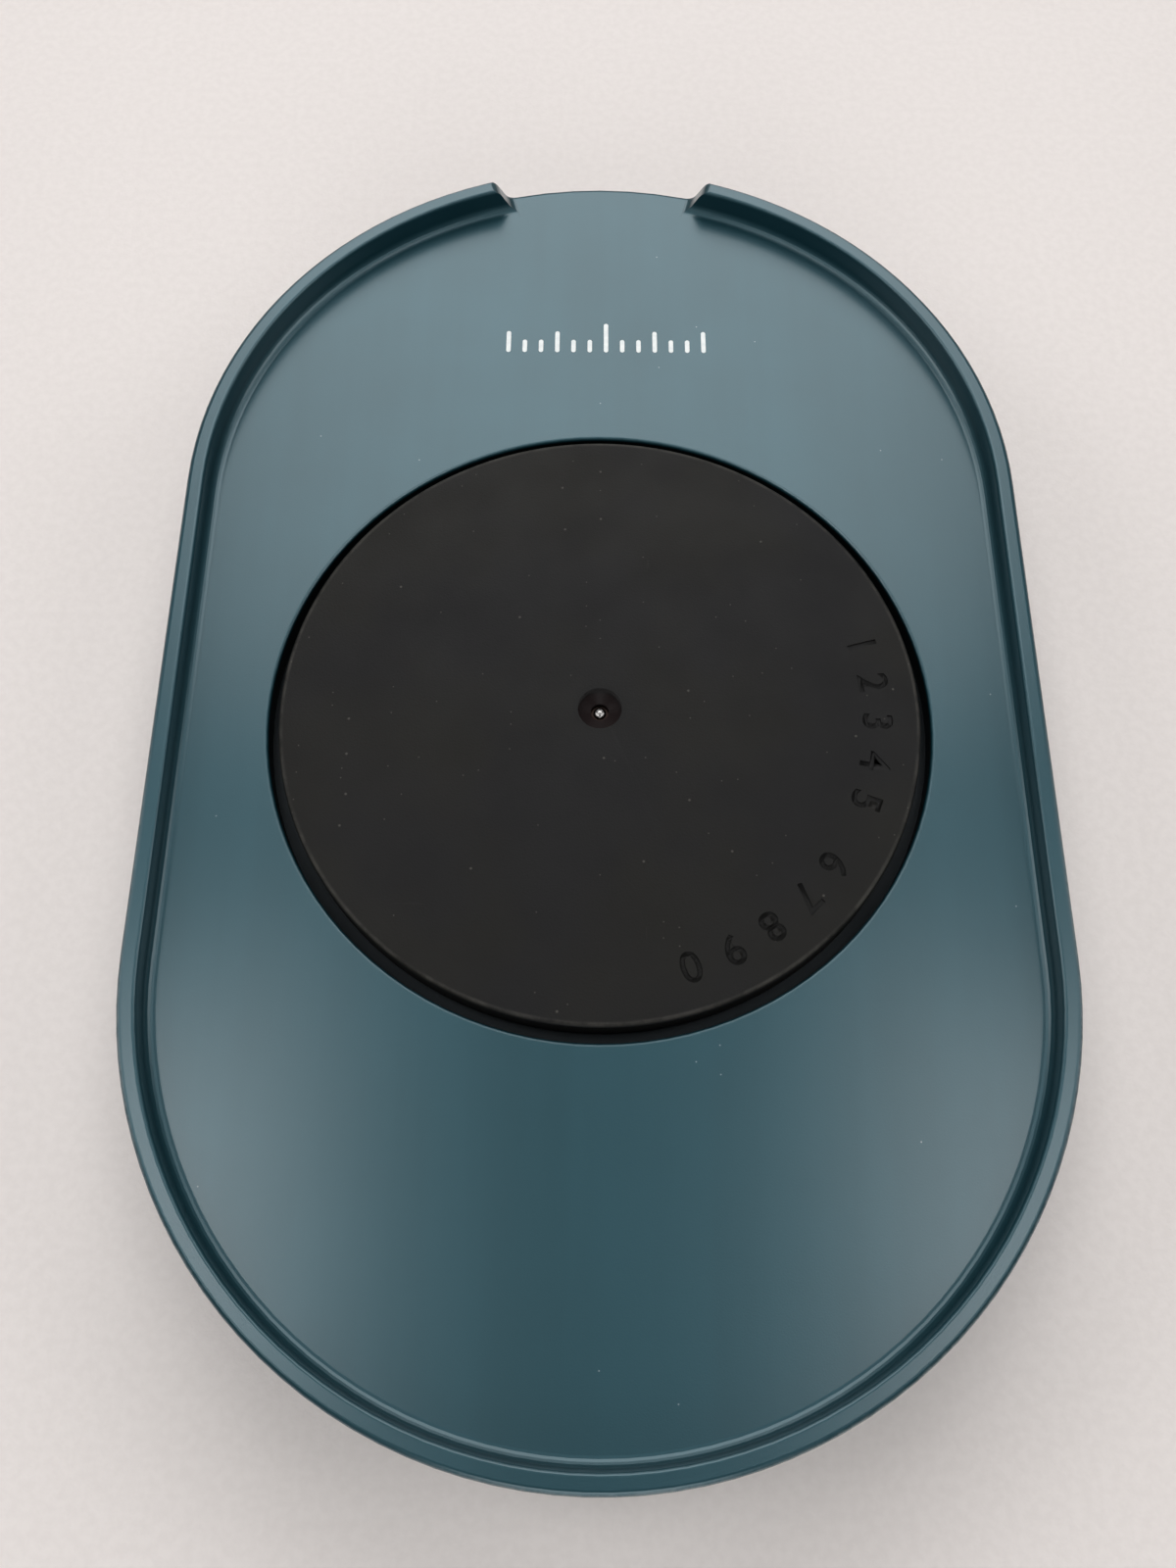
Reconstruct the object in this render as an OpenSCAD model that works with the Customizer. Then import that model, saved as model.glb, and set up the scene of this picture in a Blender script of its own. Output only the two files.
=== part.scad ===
// Mouse jiggler: a shallow tray that a computer mouse rests in, with a motor-driven
// turntable under the mouse's sensor. Units are millimetres. The origin is on the desk,
// under the middle of the tray; +Z is up and +Y points to the rear, where the rim is open.

/* [Tray] */
// Width of the tray across its straight sides, at the rim
tray_w = 95; // [88:1:110]
// Length of the tray over its two round ends, at the rim
tray_l = 151; // [146:1:170]
// Width of the raised rim
rim_w = 2; // [1.6:0.1:3]
// Height of the rim above the deck
rim_h = 3.25; // [2.8:0.05:5]
// Radius of the rim's outer top edge
rim_outer_r = 0.6; // [0.3:0.1:0.9]
// Radius of the rim's inner top edge
rim_inner_r = 0.4; // [0.2:0.1:0.6]
// Radius of the fillet between the rim and the deck
deck_fillet_r = 1; // [0.5:0.1:2]
// Thickness of the deck
deck_t = 2; // [1.6:0.1:2.4]
// Thickness of the skirt wall under the deck
wall_t = 2; // [1.6:0.1:2.4]
// How far the flank leans out from the rim to its foot
flank_draft = 0.4; // [0:0.1:1]
// Radius of the flank's bottom edge
flank_foot_r = 0.8; // [0.3:0.1:1.2]

/* [Cable gap] */
// Clear width of the gap in the rear rim, at deck level
gap_w = 21.3; // [15:0.1:30]
// Slope of the ramp at each end of the rim, in degrees
ramp_angle = 62; // [45:1:75]
// Radius of the ramp's crest and of its foot
ramp_r = 1.7; // [1:0.1:2.5]

/* [Turntable] */
// Diameter of the turntable
disc_d = 69.4; // [64:0.1:72]
// Gap between the turntable's edge and the wall of its well
disc_gap = 1.3; // [0.8:0.1:2]
// How far the turntable stands proud of the deck
disc_proud = 1.2; // [0.6:0.1:2]
// Height of the turntable's edge
disc_h = 3; // [2.6:0.1:4]
// Thickness of the turntable's web
disc_web_t = 1.9; // [1.7:0.1:2.2]
// Radius of the turntable's top edge
disc_edge_r = 0.4; // [0.2:0.1:0.8]
// Thickness of the turntable's edge ring
disc_ring_t = 1.8; // [1.2:0.1:3]
// Number of ribs under the turntable
disc_ribs = 8; // [4:1:12]
// Diameter of the turntable's hub
hub_d = 10; // [8:0.5:14]
// Diameter of the recess over the spindle
recess_d = 4.8; // [4:0.1:6]
// Depth of the recess over the spindle
recess_depth = 1; // [0.6:0.1:1.1]
// Diameter of the hole that shows the spindle's nose
nose_hole_d = 2; // [1.6:0.1:2.4]
// Running gap under the turntable's edge
disc_lift = 0.8; // [0.6:0.1:1.5]
// Thickness of the well's floor
well_floor_t = 1.8; // [1.6:0.1:2.4]
// Thickness of the well's wall
well_wall_t = 1.5; // [1.2:0.1:2]
// Radius of the deck's edge round the well
well_edge_r = 0.4; // [0.2:0.1:0.8]

/* [Spindle] */
// Diameter of the spindle
spindle_d = 4; // [3.6:0.1:5]
// Depth of the flat on the spindle
spindle_flat = 0.5; // [0.3:0.1:0.8]
// Running clearance on radius of the spindle and of the gears on their pins
run_fit = 0.04; // [0.02:0.01:0.08]
// Clearance on radius of pieces that are pressed or seated
seat_fit = 0.02; // [0.01:0.01:0.05]
// Wall of the two bushes
bush_wall = 1; // [0.8:0.1:1.5]
// Width of the bushes' flanges
bush_flange_w = 1; // [0.6:0.1:1.5]
// Thickness of the bushes' flanges
bush_flange_t = 0.6; // [0.4:0.1:0.8]
// Wall of the bosses that hold the bushes
bush_boss_wall = 1.6; // [1.2:0.1:2.4]
// Thickness of the washer under the turntable's hub
washer_t = 0.4; // [0.3:0.1:0.6]
// Thickness of the retaining clip
clip_t = 0.6; // [0.4:0.1:0.8]
// Radial width of the retaining clip outside the spindle
clip_w = 1.4; // [1:0.1:2]

/* [Gear train] */
// Pressure angle of all the teeth, in degrees
pressure_angle = 25; // [22:1:27]
// Play between meshing teeth, along the pitch circle
backlash = 0.1; // [0.06:0.01:0.14]
// Module of the teeth on the motor pinion and the first wheel
module_1 = 0.5; // [0.48:0.01:0.52]
// Module of the teeth between the first gear and the second
module_2 = 0.5; // [0.48:0.01:0.52]
// Module of the teeth between the second gear and the output gear
module_3 = 0.6; // [0.58:0.01:0.62]
// Teeth on each pinion
pinion_teeth = 12; // [12:1:13]
// Teeth on the first gear's wheel
first_teeth = 48; // [46:1:50]
// Teeth on the second gear's wheel
second_teeth = 48; // [44:1:50]
// Teeth on the output gear
output_teeth = 48; // [44:1:50]
// Thickness of the first wheel
first_wheel_t = 1.6; // [1.2:0.1:2]
// Thickness of the second wheel
second_wheel_t = 1.8; // [1.4:0.1:2.2]
// Thickness of the output gear
output_wheel_t = 2.4; // [2:0.1:2.6]
// Gap between the layers of gears
layer_gap = 0.7; // [0.5:0.1:0.9]
// Diameter of the steel pins that the gears turn on
pin_d = 1.5; // [1.2:0.1:1.8]
// Direction from the spindle to the second gear, in degrees
second_dir = -120; // [-125:1:-115]
// Direction from the second gear to the first, in degrees
first_dir = -60; // [-64:1:-56]
// Direction from the first gear to the motor, in degrees
motor_dir = -15; // [-19:1:-11]

/* [Motor] */
// Diameter of the motor's can
motor_d = 20; // [18:0.1:21]
// Height of the motor's can
motor_h = 8.6; // [8:0.1:10]
// Diameter of the motor's shaft
motor_shaft_d = 1.5; // [1.2:0.1:1.6]
// Distance between the motor's two fixing holes
motor_ear_pitch = 25; // [24:0.5:27]
// Thickness of the motor's flange
motor_flange_t = 0.8; // [0.6:0.1:1.2]
// Direction of the motor's fixing ears, in degrees
motor_ear_dir = 75; // [70:1:80]

/* [Base and gear frame] */
// How far the rubber feet stand out below the base
foot_proud = 1; // [0.6:0.1:2]
// Diameter of the rubber feet
foot_d = 12; // [10:0.5:14]
// How deep the rubber feet sit in the base
foot_seat = 0.6; // [0.4:0.1:0.9]
// Distance between the feet across the tray
foot_span_x = 62; // [56:1:66]
// Distance between the feet along the tray
foot_span_y = 66; // [60:1:84]
// Thickness of the base plate
base_t = 2; // [1.6:0.1:2.4]
// Gap between the base plate and the skirt
base_gap = 0.15; // [0.1:0.05:0.3]
// Height of the locating rib above the base plate
base_rib_h = 1.6; // [1:0.1:2]
// Thickness of the locating rib
base_rib_t = 1.2; // [1:0.1:1.6]
// Gap between the base plate and the gear frame
frame_gap = 0.7; // [0.5:0.1:1.2]
// Thickness of the gear frame's plate
frame_t = 1.6; // [1.4:0.1:2]
// Thickness of the gear frame's screw pads
frame_pad_t = 3; // [2.8:0.1:3.4]

/* [Circuit board] */
// Thickness of the circuit board
board_t = 1.2; // [0.8:0.1:1.6]
// Height of the posts under the circuit board
board_post_h = 2.2; // [2:0.1:3]
// Depth of the board's rear part, which carries the power socket
board_rear_l = 19.7; // [18:0.1:22]
// Width of the board's side part, which carries the switch
board_side_w = 21.7; // [20:0.1:24]
// Gap between the board's edge and the skirt
board_gap = 0.8; // [0.5:0.1:1]
// Width of the power socket's shell
socket_w = 8.94; // [8.9:0.01:9]
// Height of the power socket's shell
socket_h = 3.26; // [3.2:0.01:3.3]
// Depth of the power socket's shell
socket_l = 7.4; // [6.5:0.1:8]
// Wall of the power socket's shell
socket_wall = 0.3; // [0.2:0.05:0.35]
// Place of the switch along the tray, from its middle
switch_y = 24; // [22:1:27]
// Travel of the switch's slider
switch_travel = 2; // [1.5:0.1:2.5]
// Length of the slider's cap
cap_l = 6.4; // [5:0.1:7]
// Height of the slider's cap
cap_h = 3; // [2.6:0.1:3.4]
// Depth of the track that the cap slides in
track_depth = 0.9; // [0.6:0.1:1.1]
// How far the slider's cap stands out of the flank
cap_proud = 0.9; // [0.5:0.1:1.5]
// Diameter of the motor's two leads
lead_d = 1.1; // [0.9:0.1:1.3]
// Distance between the motor's two leads
lead_pitch = 2; // [1.8:0.1:2.4]

/* [Fasteners] */
// Distance of the case screws from the tray's straight sides
case_inset_x = 17.5; // [16.5:0.5:18.5]
// Distance of the case screws from the tray's ends
case_inset_y = 23.5; // [22.5:0.5:24.5]
// Length of the case screws under their heads
case_screw_l = 9; // [8:0.5:10]
// Diameter of the case screws' shanks
case_screw_d = 2.6; // [2.2:0.1:3]
// Height above the desk where the covers' screw bosses meet
boss_meet_z = 7; // [6.6:0.1:7.6]
// Diameter of the small screws' shanks
small_screw_d = 2; // [1.6:0.1:2.2]
// Length of the gear frame's screws under their heads
frame_screw_l = 7; // [6:0.5:8]
// Length of the motor's screws under their heads
motor_screw_l = 5; // [4:0.5:6]
// Length of the board's screws under their heads
board_screw_l = 4; // [3:0.5:4.2]
// Wall of the screw bosses
boss_wall = 1.7; // [1.5:0.1:2]

/* [Hidden] */

$fn = 64;
// A little more than nothing: how far a cutter runs past the face that it cuts
past = 0.5;

// Plan of the tray
half_w = tray_w / 2;
end_y = (tray_l - tray_w) / 2;
inner_r = half_w - wall_t;
plate_r = inner_r - base_gap;

// Levels, from the desk upwards
base_z = foot_proud;
floor_z = base_z + base_t;
frame_z = floor_z + frame_gap;
frame_top_z = frame_z + frame_t;
pad_top_z = frame_z + frame_pad_t;
motor_top_z = frame_z + motor_h;
first_wheel_z = motor_top_z + layer_gap;
second_wheel_z = motor_top_z - 0.1 - second_wheel_t;
output_wheel_z = second_wheel_z - layer_gap - output_wheel_t;
mesh_over = 0.2;
first_pinion_z = second_wheel_z - mesh_over;
second_pinion_z = output_wheel_z - mesh_over;
well_under_z = first_wheel_z + first_wheel_t + layer_gap + 0.1;
well_z = well_under_z + well_floor_t;
disc_z = well_z + disc_lift;
disc_top_z = disc_z + disc_h;
deck_z = disc_top_z - disc_proud;
deck_under_z = deck_z - deck_t;
rim_z = deck_z + rim_h;

// Turntable, well and spindle
disc_r = disc_d / 2;
well_r = disc_r + disc_gap;
web_z = disc_top_z - disc_web_t;
spindle_r = spindle_d / 2;
recess_z = disc_top_z - recess_depth;
shoulder_z = recess_z - 0.4;
nose_z = recess_z - 0.1;
nose_r = nose_hole_d / 2 - 0.1;
spindle_foot_z = frame_z + 0.3;
bush_r = spindle_r + bush_wall;
bush_flange_r = bush_r + bush_flange_w;
bush_boss_r = bush_r + bush_boss_wall;
upper_boss_z = well_under_z - 1.5;
upper_bush_top_z = well_z + bush_flange_t;
washer_gap = 0.05;
hub_z = upper_bush_top_z + washer_t + 2 * washer_gap;
lower_flange_z = second_pinion_z - 0.2 - bush_flange_t;
clip_z = upper_boss_z - clip_t - 0.2;
groove_depth = 0.5;

// Centres of the gears, each reached from the one before it
function toward(angle) = [cos(angle), sin(angle)];
second_c = toward(second_dir) * module_3 * (pinion_teeth + output_teeth) / 2;
first_c = second_c + toward(first_dir) * module_2 * (pinion_teeth + second_teeth) / 2;
motor_c = first_c + toward(motor_dir) * module_1 * (pinion_teeth + first_teeth) / 2;
gear_hub_r = pin_d / 2 + 1.3;
pin_top_z = well_under_z + 1;
pin_foot_z = frame_z + 0.3;

// Small screws: the holes that they pass and bite into
small_boss_r = small_screw_d / 2 + boss_wall;
head_d = small_screw_d * 1.9;
head_h = small_screw_d * 0.65;
pass_fit = 0.1;
head_fit = 0.2;
head_sink = 0.3;
tip_room = 1;

// Gear frame: where it is screwed to the top cover
frame_pads = [[18, 8], [-18, 8], [-21, -33], [25.5, -41.5]];
frame_seat_z = frame_z + head_h + head_sink;
motor_ears = [for (side = [-1, 1]) motor_c + side * toward(motor_ear_dir) * motor_ear_pitch / 2];
ear_r = 2.4;

// Base
case_screws_at = [for (x = [-1, 1], y = [-1, 1])
    [x * (half_w - case_inset_x), y * (tray_l / 2 - case_inset_y)]];
feet_at = [for (x = [-1, 1], y = [-1, 1]) [x * foot_span_x / 2, y * foot_span_y / 2]];
case_head_d = case_screw_d * 1.9;
case_head_h = case_screw_d * 0.65;
case_boss_r = case_screw_d / 2 + boss_wall + 0.3;
case_well_r = case_head_d / 2 + head_sink + boss_wall * 0.7;
head_seat_z = boss_meet_z - 2;

// Circuit board and what stands on it
board_z = floor_z + board_post_h;
board_top_z = board_z + board_t;
board_r = inner_r - board_gap;
board_left_x = -19;
board_side_x = board_r - board_side_w;
board_rear_y = end_y + board_r - board_rear_l;
board_front_y = switch_y - 7;
board_posts = [
    [board_left_x + 5, board_rear_y + 7], [board_side_x - 5, board_rear_y + 5],
    [board_side_x + 4, board_front_y + 13]
];
socket_z = board_top_z + socket_h / 2;
socket_mouth_y = end_y + half_w - 0.3;
socket_back_y = socket_mouth_y - socket_l;
switch_l = 8.6;
switch_w = 3.6;
switch_h = 3.5;
switch_x = inner_r - 1.1;
stem_l = 2.4;
stem_h = 1.6;
stem_z = board_top_z + switch_h / 2;
stem_tip_x = switch_x - 1.2;
cap_clear = 0.3;
connector_l = 5.6;
connector_w = 3 * lead_pitch;
connector_h = 4.6;
connector_front_y = board_front_y + 1.6;
terminal_l = 3;
terminal_w = 4 * lead_pitch;
terminal_h = 3;
lead_z = board_top_z + 1.8;
lead_bend_r = 3;
lead_x = board_r - 8.7;
terminal_x = motor_c[0] + motor_d / 2 + terminal_l - 0.3;

cover_color = [0.27, 0.43, 0.48];
disc_color = [0.13, 0.13, 0.14];
steel_color = [0.72, 0.73, 0.75];
brass_color = [0.78, 0.63, 0.33];
gear_color = [0.92, 0.91, 0.86];
frame_color = [0.25, 0.26, 0.28];

// ---- Outlines and sweeps shared by several pieces ----

// Points on an arc about [x, z], from one angle to another
function arc(x, z, r, from, to, steps = 6) =
    [for (i = [0:steps]) let (a = from + (to - from) * i / steps) [x + r * cos(a), z + r * sin(a)]];

// The tray's plan: two true half rounds joined by a straight middle
module stadium(r) {
    translate([0, end_y]) circle(r, $fn = 128);
    translate([0, -end_y]) circle(r, $fn = 128);
    square([2 * r, 2 * end_y], center = true);
}

// Carries a half section round the tray: revolved at the ends, straight between them
module around_tray() {
    for (turn = [0, 180])
        rotate(turn) translate([0, end_y, 0]) rotate_extrude(angle = 180, $fn = 128) children();
    for (side = [0, 1])
        mirror([side, 0, 0]) translate([0, end_y, 0]) rotate([90, 0, 0])
            linear_extrude(2 * end_y) children();
}

// Places a copy of a piece at each point
module at_each(points) {
    for (p = points) translate([p[0], p[1], 0]) children();
}

// A ring or tube standing on z
module tube(r_out, r_in, z, h) {
    translate([0, 0, z]) difference() {
        cylinder(h, r = r_out);
        translate([0, 0, -past]) cylinder(h + 2 * past, r = r_in);
    }
}

// A slot with round ends along X, cut through a wall that faces Y
module round_slot(w, h, l) {
    rotate([-90, 0, 0]) linear_extrude(l) {
        square([w - h, h], center = true);
        for (side = [-1, 1]) translate([side * (w - h) / 2, 0]) circle(h / 2);
    }
}

// A pan-head screw that points up, with its head's bearing face at z = 0
module screw(head_d, head_h, d, l) {
    crown = head_h * 0.35;
    rotate_extrude() polygon(concat(
        [[0, -head_h]], arc(head_d / 2 - crown, crown - head_h, crown, -90, 0),
        [[head_d / 2, 0], [d / 2, 0], [d / 2, l - d / 2], [d / 8, l], [0, l]]));
}

// ---- Gear teeth ----

// Angle that an involute has turned through when it reaches radius r
function involute_turn(base_r, r) =
    let (t = sqrt(max(0, pow(r / base_r, 2) - 1))) t * 180 / PI - atan(t);

// Outline of a spur gear. A tooth's middle lies along +X. Flanks are involutes down to
// the base circle and radial below it.
function gear_points(m, teeth, steps = 4) =
    let (
        pitch_r = m * teeth / 2,
        base_r = pitch_r * cos(pressure_angle),
        tip_r = pitch_r + m * 0.95,
        root_r = pitch_r - m * 1.25,
        flank_r = max(base_r, root_r),
        half_pitch = (PI * m - backlash) / 4 / pitch_r * 180 / PI,
        half_base = half_pitch + involute_turn(base_r, pitch_r),
        radii = concat([root_r], [for (i = [0:steps]) flank_r + (tip_r - flank_r) * i / steps])
    )
    [for (tooth = [0:teeth - 1], side = [-1, 1], i = [0:steps + 1])
        let (
            r = radii[side < 0 ? i : steps + 1 - i],
            a = tooth * 360 / teeth + side * (half_base - involute_turn(base_r, r))
        ) [r * cos(a), r * sin(a)]];

// A toothed wheel whose nearest tooth, or nearest gap, faces the given direction
module toothed(m, teeth, direction, gap, z, t) {
    translate([0, 0, z]) rotate(direction + (gap ? 180 / teeth : 0))
        linear_extrude(t) polygon(gear_points(m, teeth));
}

// ---- Covers ----

// Half section of the top cover: deck, rim and skirt
module cover_section() {
    wall_x = half_w - rim_w;
    foot_x = half_w + flank_draft;
    polygon(concat(
        [[0, deck_z]],
        arc(wall_x - deck_fillet_r, deck_z + deck_fillet_r, deck_fillet_r, -90, 0),
        arc(wall_x + rim_inner_r, rim_z - rim_inner_r, rim_inner_r, 180, 90),
        arc(half_w - rim_outer_r, rim_z - rim_outer_r, rim_outer_r, 90, 0),
        arc(foot_x - flank_foot_r, base_z + flank_foot_r, flank_foot_r, 0, -90),
        [[inner_r, base_z], [inner_r, deck_under_z], [0, deck_under_z]]));
}

// Stations round the cable gap, each a distance along the rim from the tray's middle line
// and the height of the cut there: down one ramp, along the level floor and up the other.
// A ramp is a hollow arc, a straight run and a round arc.
function gap_stations(floor_steps = 6) =
    let (
        foot_x = gap_w / 2,
        straight = max(0, rim_h - 2 * ramp_r * (1 - cos(ramp_angle))) / tan(ramp_angle),
        crest_x = foot_x + 2 * ramp_r * sin(ramp_angle) + straight,
        // the cut ends this far under the deck and over the rim, so that no faces coincide
        shift = 0.05,
        ramp = concat(
            arc(foot_x, deck_z - shift + ramp_r, ramp_r, -90, ramp_angle - 90),
            arc(crest_x, rim_z + shift - ramp_r, ramp_r, 90 + ramp_angle, 90))
    )
    concat(
        [for (i = [len(ramp) - 1:-1:0]) [-ramp[i][0], ramp[i][1]]],
        [for (i = [1:floor_steps - 1]) [(2 * i / floor_steps - 1) * foot_x, deck_z - shift]],
        ramp);

// Section of the cut at one station, as radius and height from inside to outside. Its
// underside eases the outer edge. Near the crest that edge gets sharper, so that the cut
// ends clear of the rim's own rounded edge.
function gap_section(z) =
    let (
        inside_x = half_w - rim_w - deck_fillet_r - past,
        clear = 0.03,
        share = max(0, z - deck_z) / rim_h,
        out_r = rim_outer_r * (1 - max(0, share - 0.7) * 1.8),
        flank_top_z = rim_z - rim_outer_r,
        lean = (flank_top_z - z + out_r / 2) / (flank_top_z - base_z - flank_foot_r),
        flank_x = half_w + flank_draft * max(0, lean) + clear
    )
    concat(
        [[inside_x, z]],
        [for (a = [0:30:90])
            [flank_x - out_r * (1 - sin(a)), z - out_r * (1 - cos(a))]],
        [[flank_x + past, z - out_r], [flank_x + past, rim_z + past], [inside_x, rim_z + past]]);

// What is cut from the rear rim: the sections carried round the tray's rear end
module rim_gap() {
    rim_mid_r = half_w - rim_w / 2;
    stations = gap_stations();
    last = len(stations) - 1;
    sides = len(gap_section(deck_z));
    points = [for (s = stations) let (a = asin(s[0] / rim_mid_r))
        for (p = gap_section(s[1])) [p[0] * sin(a), end_y + p[0] * cos(a), p[1]]];
    sheath = [for (i = [0:last - 1], k = [0:sides - 1])
        let (a = i * sides + k, b = i * sides + (k + 1) % sides)
        each [[a, a + sides, b], [b, a + sides, b + sides]]];
    ends = [[for (k = [0:sides - 1]) k], [for (k = [sides - 1:-1:0]) last * sides + k]];
    polyhedron(points, concat(sheath, ends));
}

// The round well that the turntable turns in, with its edge eased at the deck
module well_space() {
    rotate_extrude($fn = 128) polygon(concat(
        [[0, well_z]],
        [[well_r, well_z]],
        arc(well_r + well_edge_r, deck_z - well_edge_r, well_edge_r, 180, 90),
        [[well_r + well_edge_r, rim_z], [0, rim_z]]));
}

module top_cover() {
    color(cover_color) difference() {
        union() {
            around_tray() cover_section();
            translate([0, 0, well_under_z])
                cylinder(deck_under_z - well_under_z + past, r = well_r + well_wall_t, $fn = 128);
            translate([0, 0, upper_boss_z]) cylinder(well_z - upper_boss_z, r = bush_boss_r);
            at_each(frame_pads) translate([0, 0, pad_top_z])
                cylinder(deck_under_z - pad_top_z + past, r = small_boss_r);
            at_each(case_screws_at) translate([0, 0, boss_meet_z])
                cylinder(deck_under_z - boss_meet_z + past, r = case_boss_r);
            cover_ribs();
        }
        well_space();
        rim_gap();
        translate([0, 0, upper_boss_z - past]) cylinder(well_z, r = bush_r + seat_fit);
        at_each(frame_pads) translate([0, 0, pad_top_z - past])
            cylinder(frame_seat_z + frame_screw_l + tip_room - pad_top_z + past,
                     r = small_screw_d / 2 + seat_fit);
        at_each(case_screws_at) translate([0, 0, boss_meet_z - past])
            cylinder(head_seat_z + case_screw_l + tip_room - boss_meet_z + past,
                     r = case_screw_d / 2 + seat_fit);
        at_each([first_c, second_c]) translate([0, 0, well_under_z - past])
            cylinder(1.2 + past, r = pin_d / 2 + seat_fit);
        translate([0, socket_back_y, socket_z])
            round_slot(socket_w + 0.4, socket_h + 0.4, socket_l + 2);
        switch_cutout();
    }
}

// Stiffening ribs under the deck, from the well's wall out to the skirt
module cover_ribs() {
    rib_t = 1.2;
    rib_h = 2.4;
    reach_x = inner_r - well_r + past;
    reach_y = end_y + inner_r - well_r + past;
    for (side = [-1, 1]) {
        translate([side * (well_r + reach_x / 2), 0, deck_under_z + (past - rib_h) / 2])
            cube([reach_x, rib_t, rib_h + past], center = true);
        translate([0, side * (well_r + reach_y / 2), deck_under_z + (past - rib_h) / 2])
            cube([rib_t, reach_y, rib_h + past], center = true);
    }
}

// The track and the slot of the on-off slider, in the right flank
module switch_cutout() {
    track_l = cap_l + switch_travel + 2 * cap_clear;
    track_h = cap_h + 2 * cap_clear;
    slot_l = stem_l + switch_travel + 2 * cap_clear;
    translate([half_w - track_depth, switch_y - track_l / 2, stem_z - track_h / 2])
        cube([track_depth + flank_draft + past, track_l, track_h]);
    translate([inner_r - past, switch_y - slot_l / 2, stem_z - stem_h / 2 - cap_clear])
        cube([wall_t + 2 * past, slot_l, stem_h + 2 * cap_clear]);
}

module bottom_cover() {
    color(cover_color) difference() {
        union() {
            translate([0, 0, base_z]) linear_extrude(base_t) stadium(plate_r);
            translate([0, 0, floor_z]) linear_extrude(base_rib_h) difference() {
                stadium(plate_r);
                stadium(plate_r - base_rib_t);
            }
            at_each(case_screws_at) translate([0, 0, base_z])
                cylinder(boss_meet_z - base_z, r = case_well_r);
            at_each(board_posts) translate([0, 0, base_z])
                cylinder(board_z - base_z, r = small_boss_r);
        }
        at_each(case_screws_at) {
            translate([0, 0, base_z - past])
                cylinder(head_seat_z - base_z + past, r = case_head_d / 2 + head_sink);
            translate([0, 0, head_seat_z - past])
                cylinder(boss_meet_z, r = case_screw_d / 2 + pass_fit);
        }
        at_each(board_posts) translate([0, 0, board_top_z - board_screw_l - tip_room / 2])
            cylinder(board_z, r = small_screw_d / 2 + seat_fit);
        at_each(feet_at) translate([0, 0, base_z - past])
            cylinder(foot_seat + past, r = foot_d / 2 + 0.1);
    }
}

// ---- Turntable and what turns with it ----

module turntable() {
    color(disc_color) difference() {
        union() {
            rotate_extrude($fn = 128) polygon(concat(
                [[0, web_z], [disc_r - disc_ring_t, web_z], [disc_r - disc_ring_t, disc_z]],
                [[disc_r, disc_z]],
                arc(disc_r - disc_edge_r, disc_top_z - disc_edge_r, disc_edge_r, 0, 90),
                [[0, disc_top_z]]));
            translate([0, 0, hub_z]) cylinder(web_z - hub_z + past, r = hub_d / 2);
            for (i = [0:disc_ribs - 1]) rotate(i * 360 / disc_ribs)
                translate([hub_d / 2 - past, -0.6, disc_z + 0.2])
                    cube([disc_r - disc_ring_t - hub_d / 2 + 2 * past, 1.2, web_z - disc_z]);
        }
        translate([0, 0, recess_z]) cylinder(recess_depth + past, r = recess_d / 2);
        translate([0, 0, shoulder_z]) cylinder(recess_depth + past, r = nose_hole_d / 2);
        difference() {
            translate([0, 0, hub_z - past])
                cylinder(shoulder_z - hub_z + past, r = spindle_r + seat_fit);
            translate([spindle_r - spindle_flat + seat_fit, -spindle_r, hub_z - past])
                cube([spindle_r, 2 * spindle_r, disc_h + past]);
        }
        translate([0, 0, hub_z - past]) cylinder(0.2 + past, r = spindle_r + seat_fit);
    }
}

module spindle() {
    color(steel_color) difference() {
        union() {
            translate([0, 0, spindle_foot_z])
                cylinder(shoulder_z - 0.05 - spindle_foot_z, r = spindle_r);
            // domed nose
            rotate_extrude() polygon(concat(
                [[0, spindle_foot_z], [nose_r, spindle_foot_z]],
                arc(0, nose_z - nose_r, nose_r, 0, 90)));
        }
        // flat for the turntable's hub
        translate([spindle_r - spindle_flat, -spindle_r, hub_z + 0.2])
            cube([spindle_r, 2 * spindle_r, disc_h + past]);
        // flat for the output gear
        translate([spindle_r - spindle_flat, -spindle_r, output_wheel_z])
            cube([spindle_r, 2 * spindle_r, clip_z - 0.6 - output_wheel_z]);
        // groove for the clip
        tube(spindle_r + past, spindle_r - groove_depth, clip_z, clip_t);
    }
}

// A flanged bush; its flange is at the top
module bush(foot_z, flange_z) {
    difference() {
        union() {
            translate([0, 0, foot_z]) cylinder(flange_z - foot_z, r = bush_r);
            translate([0, 0, flange_z]) cylinder(bush_flange_t, r = bush_flange_r);
        }
        translate([0, 0, foot_z - past])
            cylinder(flange_z - foot_z + bush_flange_t + 2 * past, r = spindle_r + run_fit);
    }
}

module upper_bush() {
    color(brass_color) bush(upper_boss_z, well_z);
}

module lower_bush() {
    color(brass_color) bush(frame_z, lower_flange_z);
}

module thrust_washer() {
    color(gear_color)
        tube(bush_flange_r, spindle_r + 2 * run_fit, upper_bush_top_z + washer_gap, washer_t);
}

// An open ring that snaps into the spindle's groove under the upper bush
module retaining_clip() {
    inner = spindle_r - groove_depth + seat_fit;
    color(steel_color) translate([0, 0, clip_z + seat_fit]) rotate(210)
        rotate_extrude(angle = 300)
            translate([inner, 0]) square([groove_depth + clip_w, clip_t - 2 * seat_fit]);
}

// Ring of round holes that lighten a wheel
module lightening(count, r, hole_r, z, t) {
    for (i = [0:count - 1]) rotate(i * 360 / count)
        translate([r, 0, z - past]) cylinder(t + 2 * past, r = hole_r);
}

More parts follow.
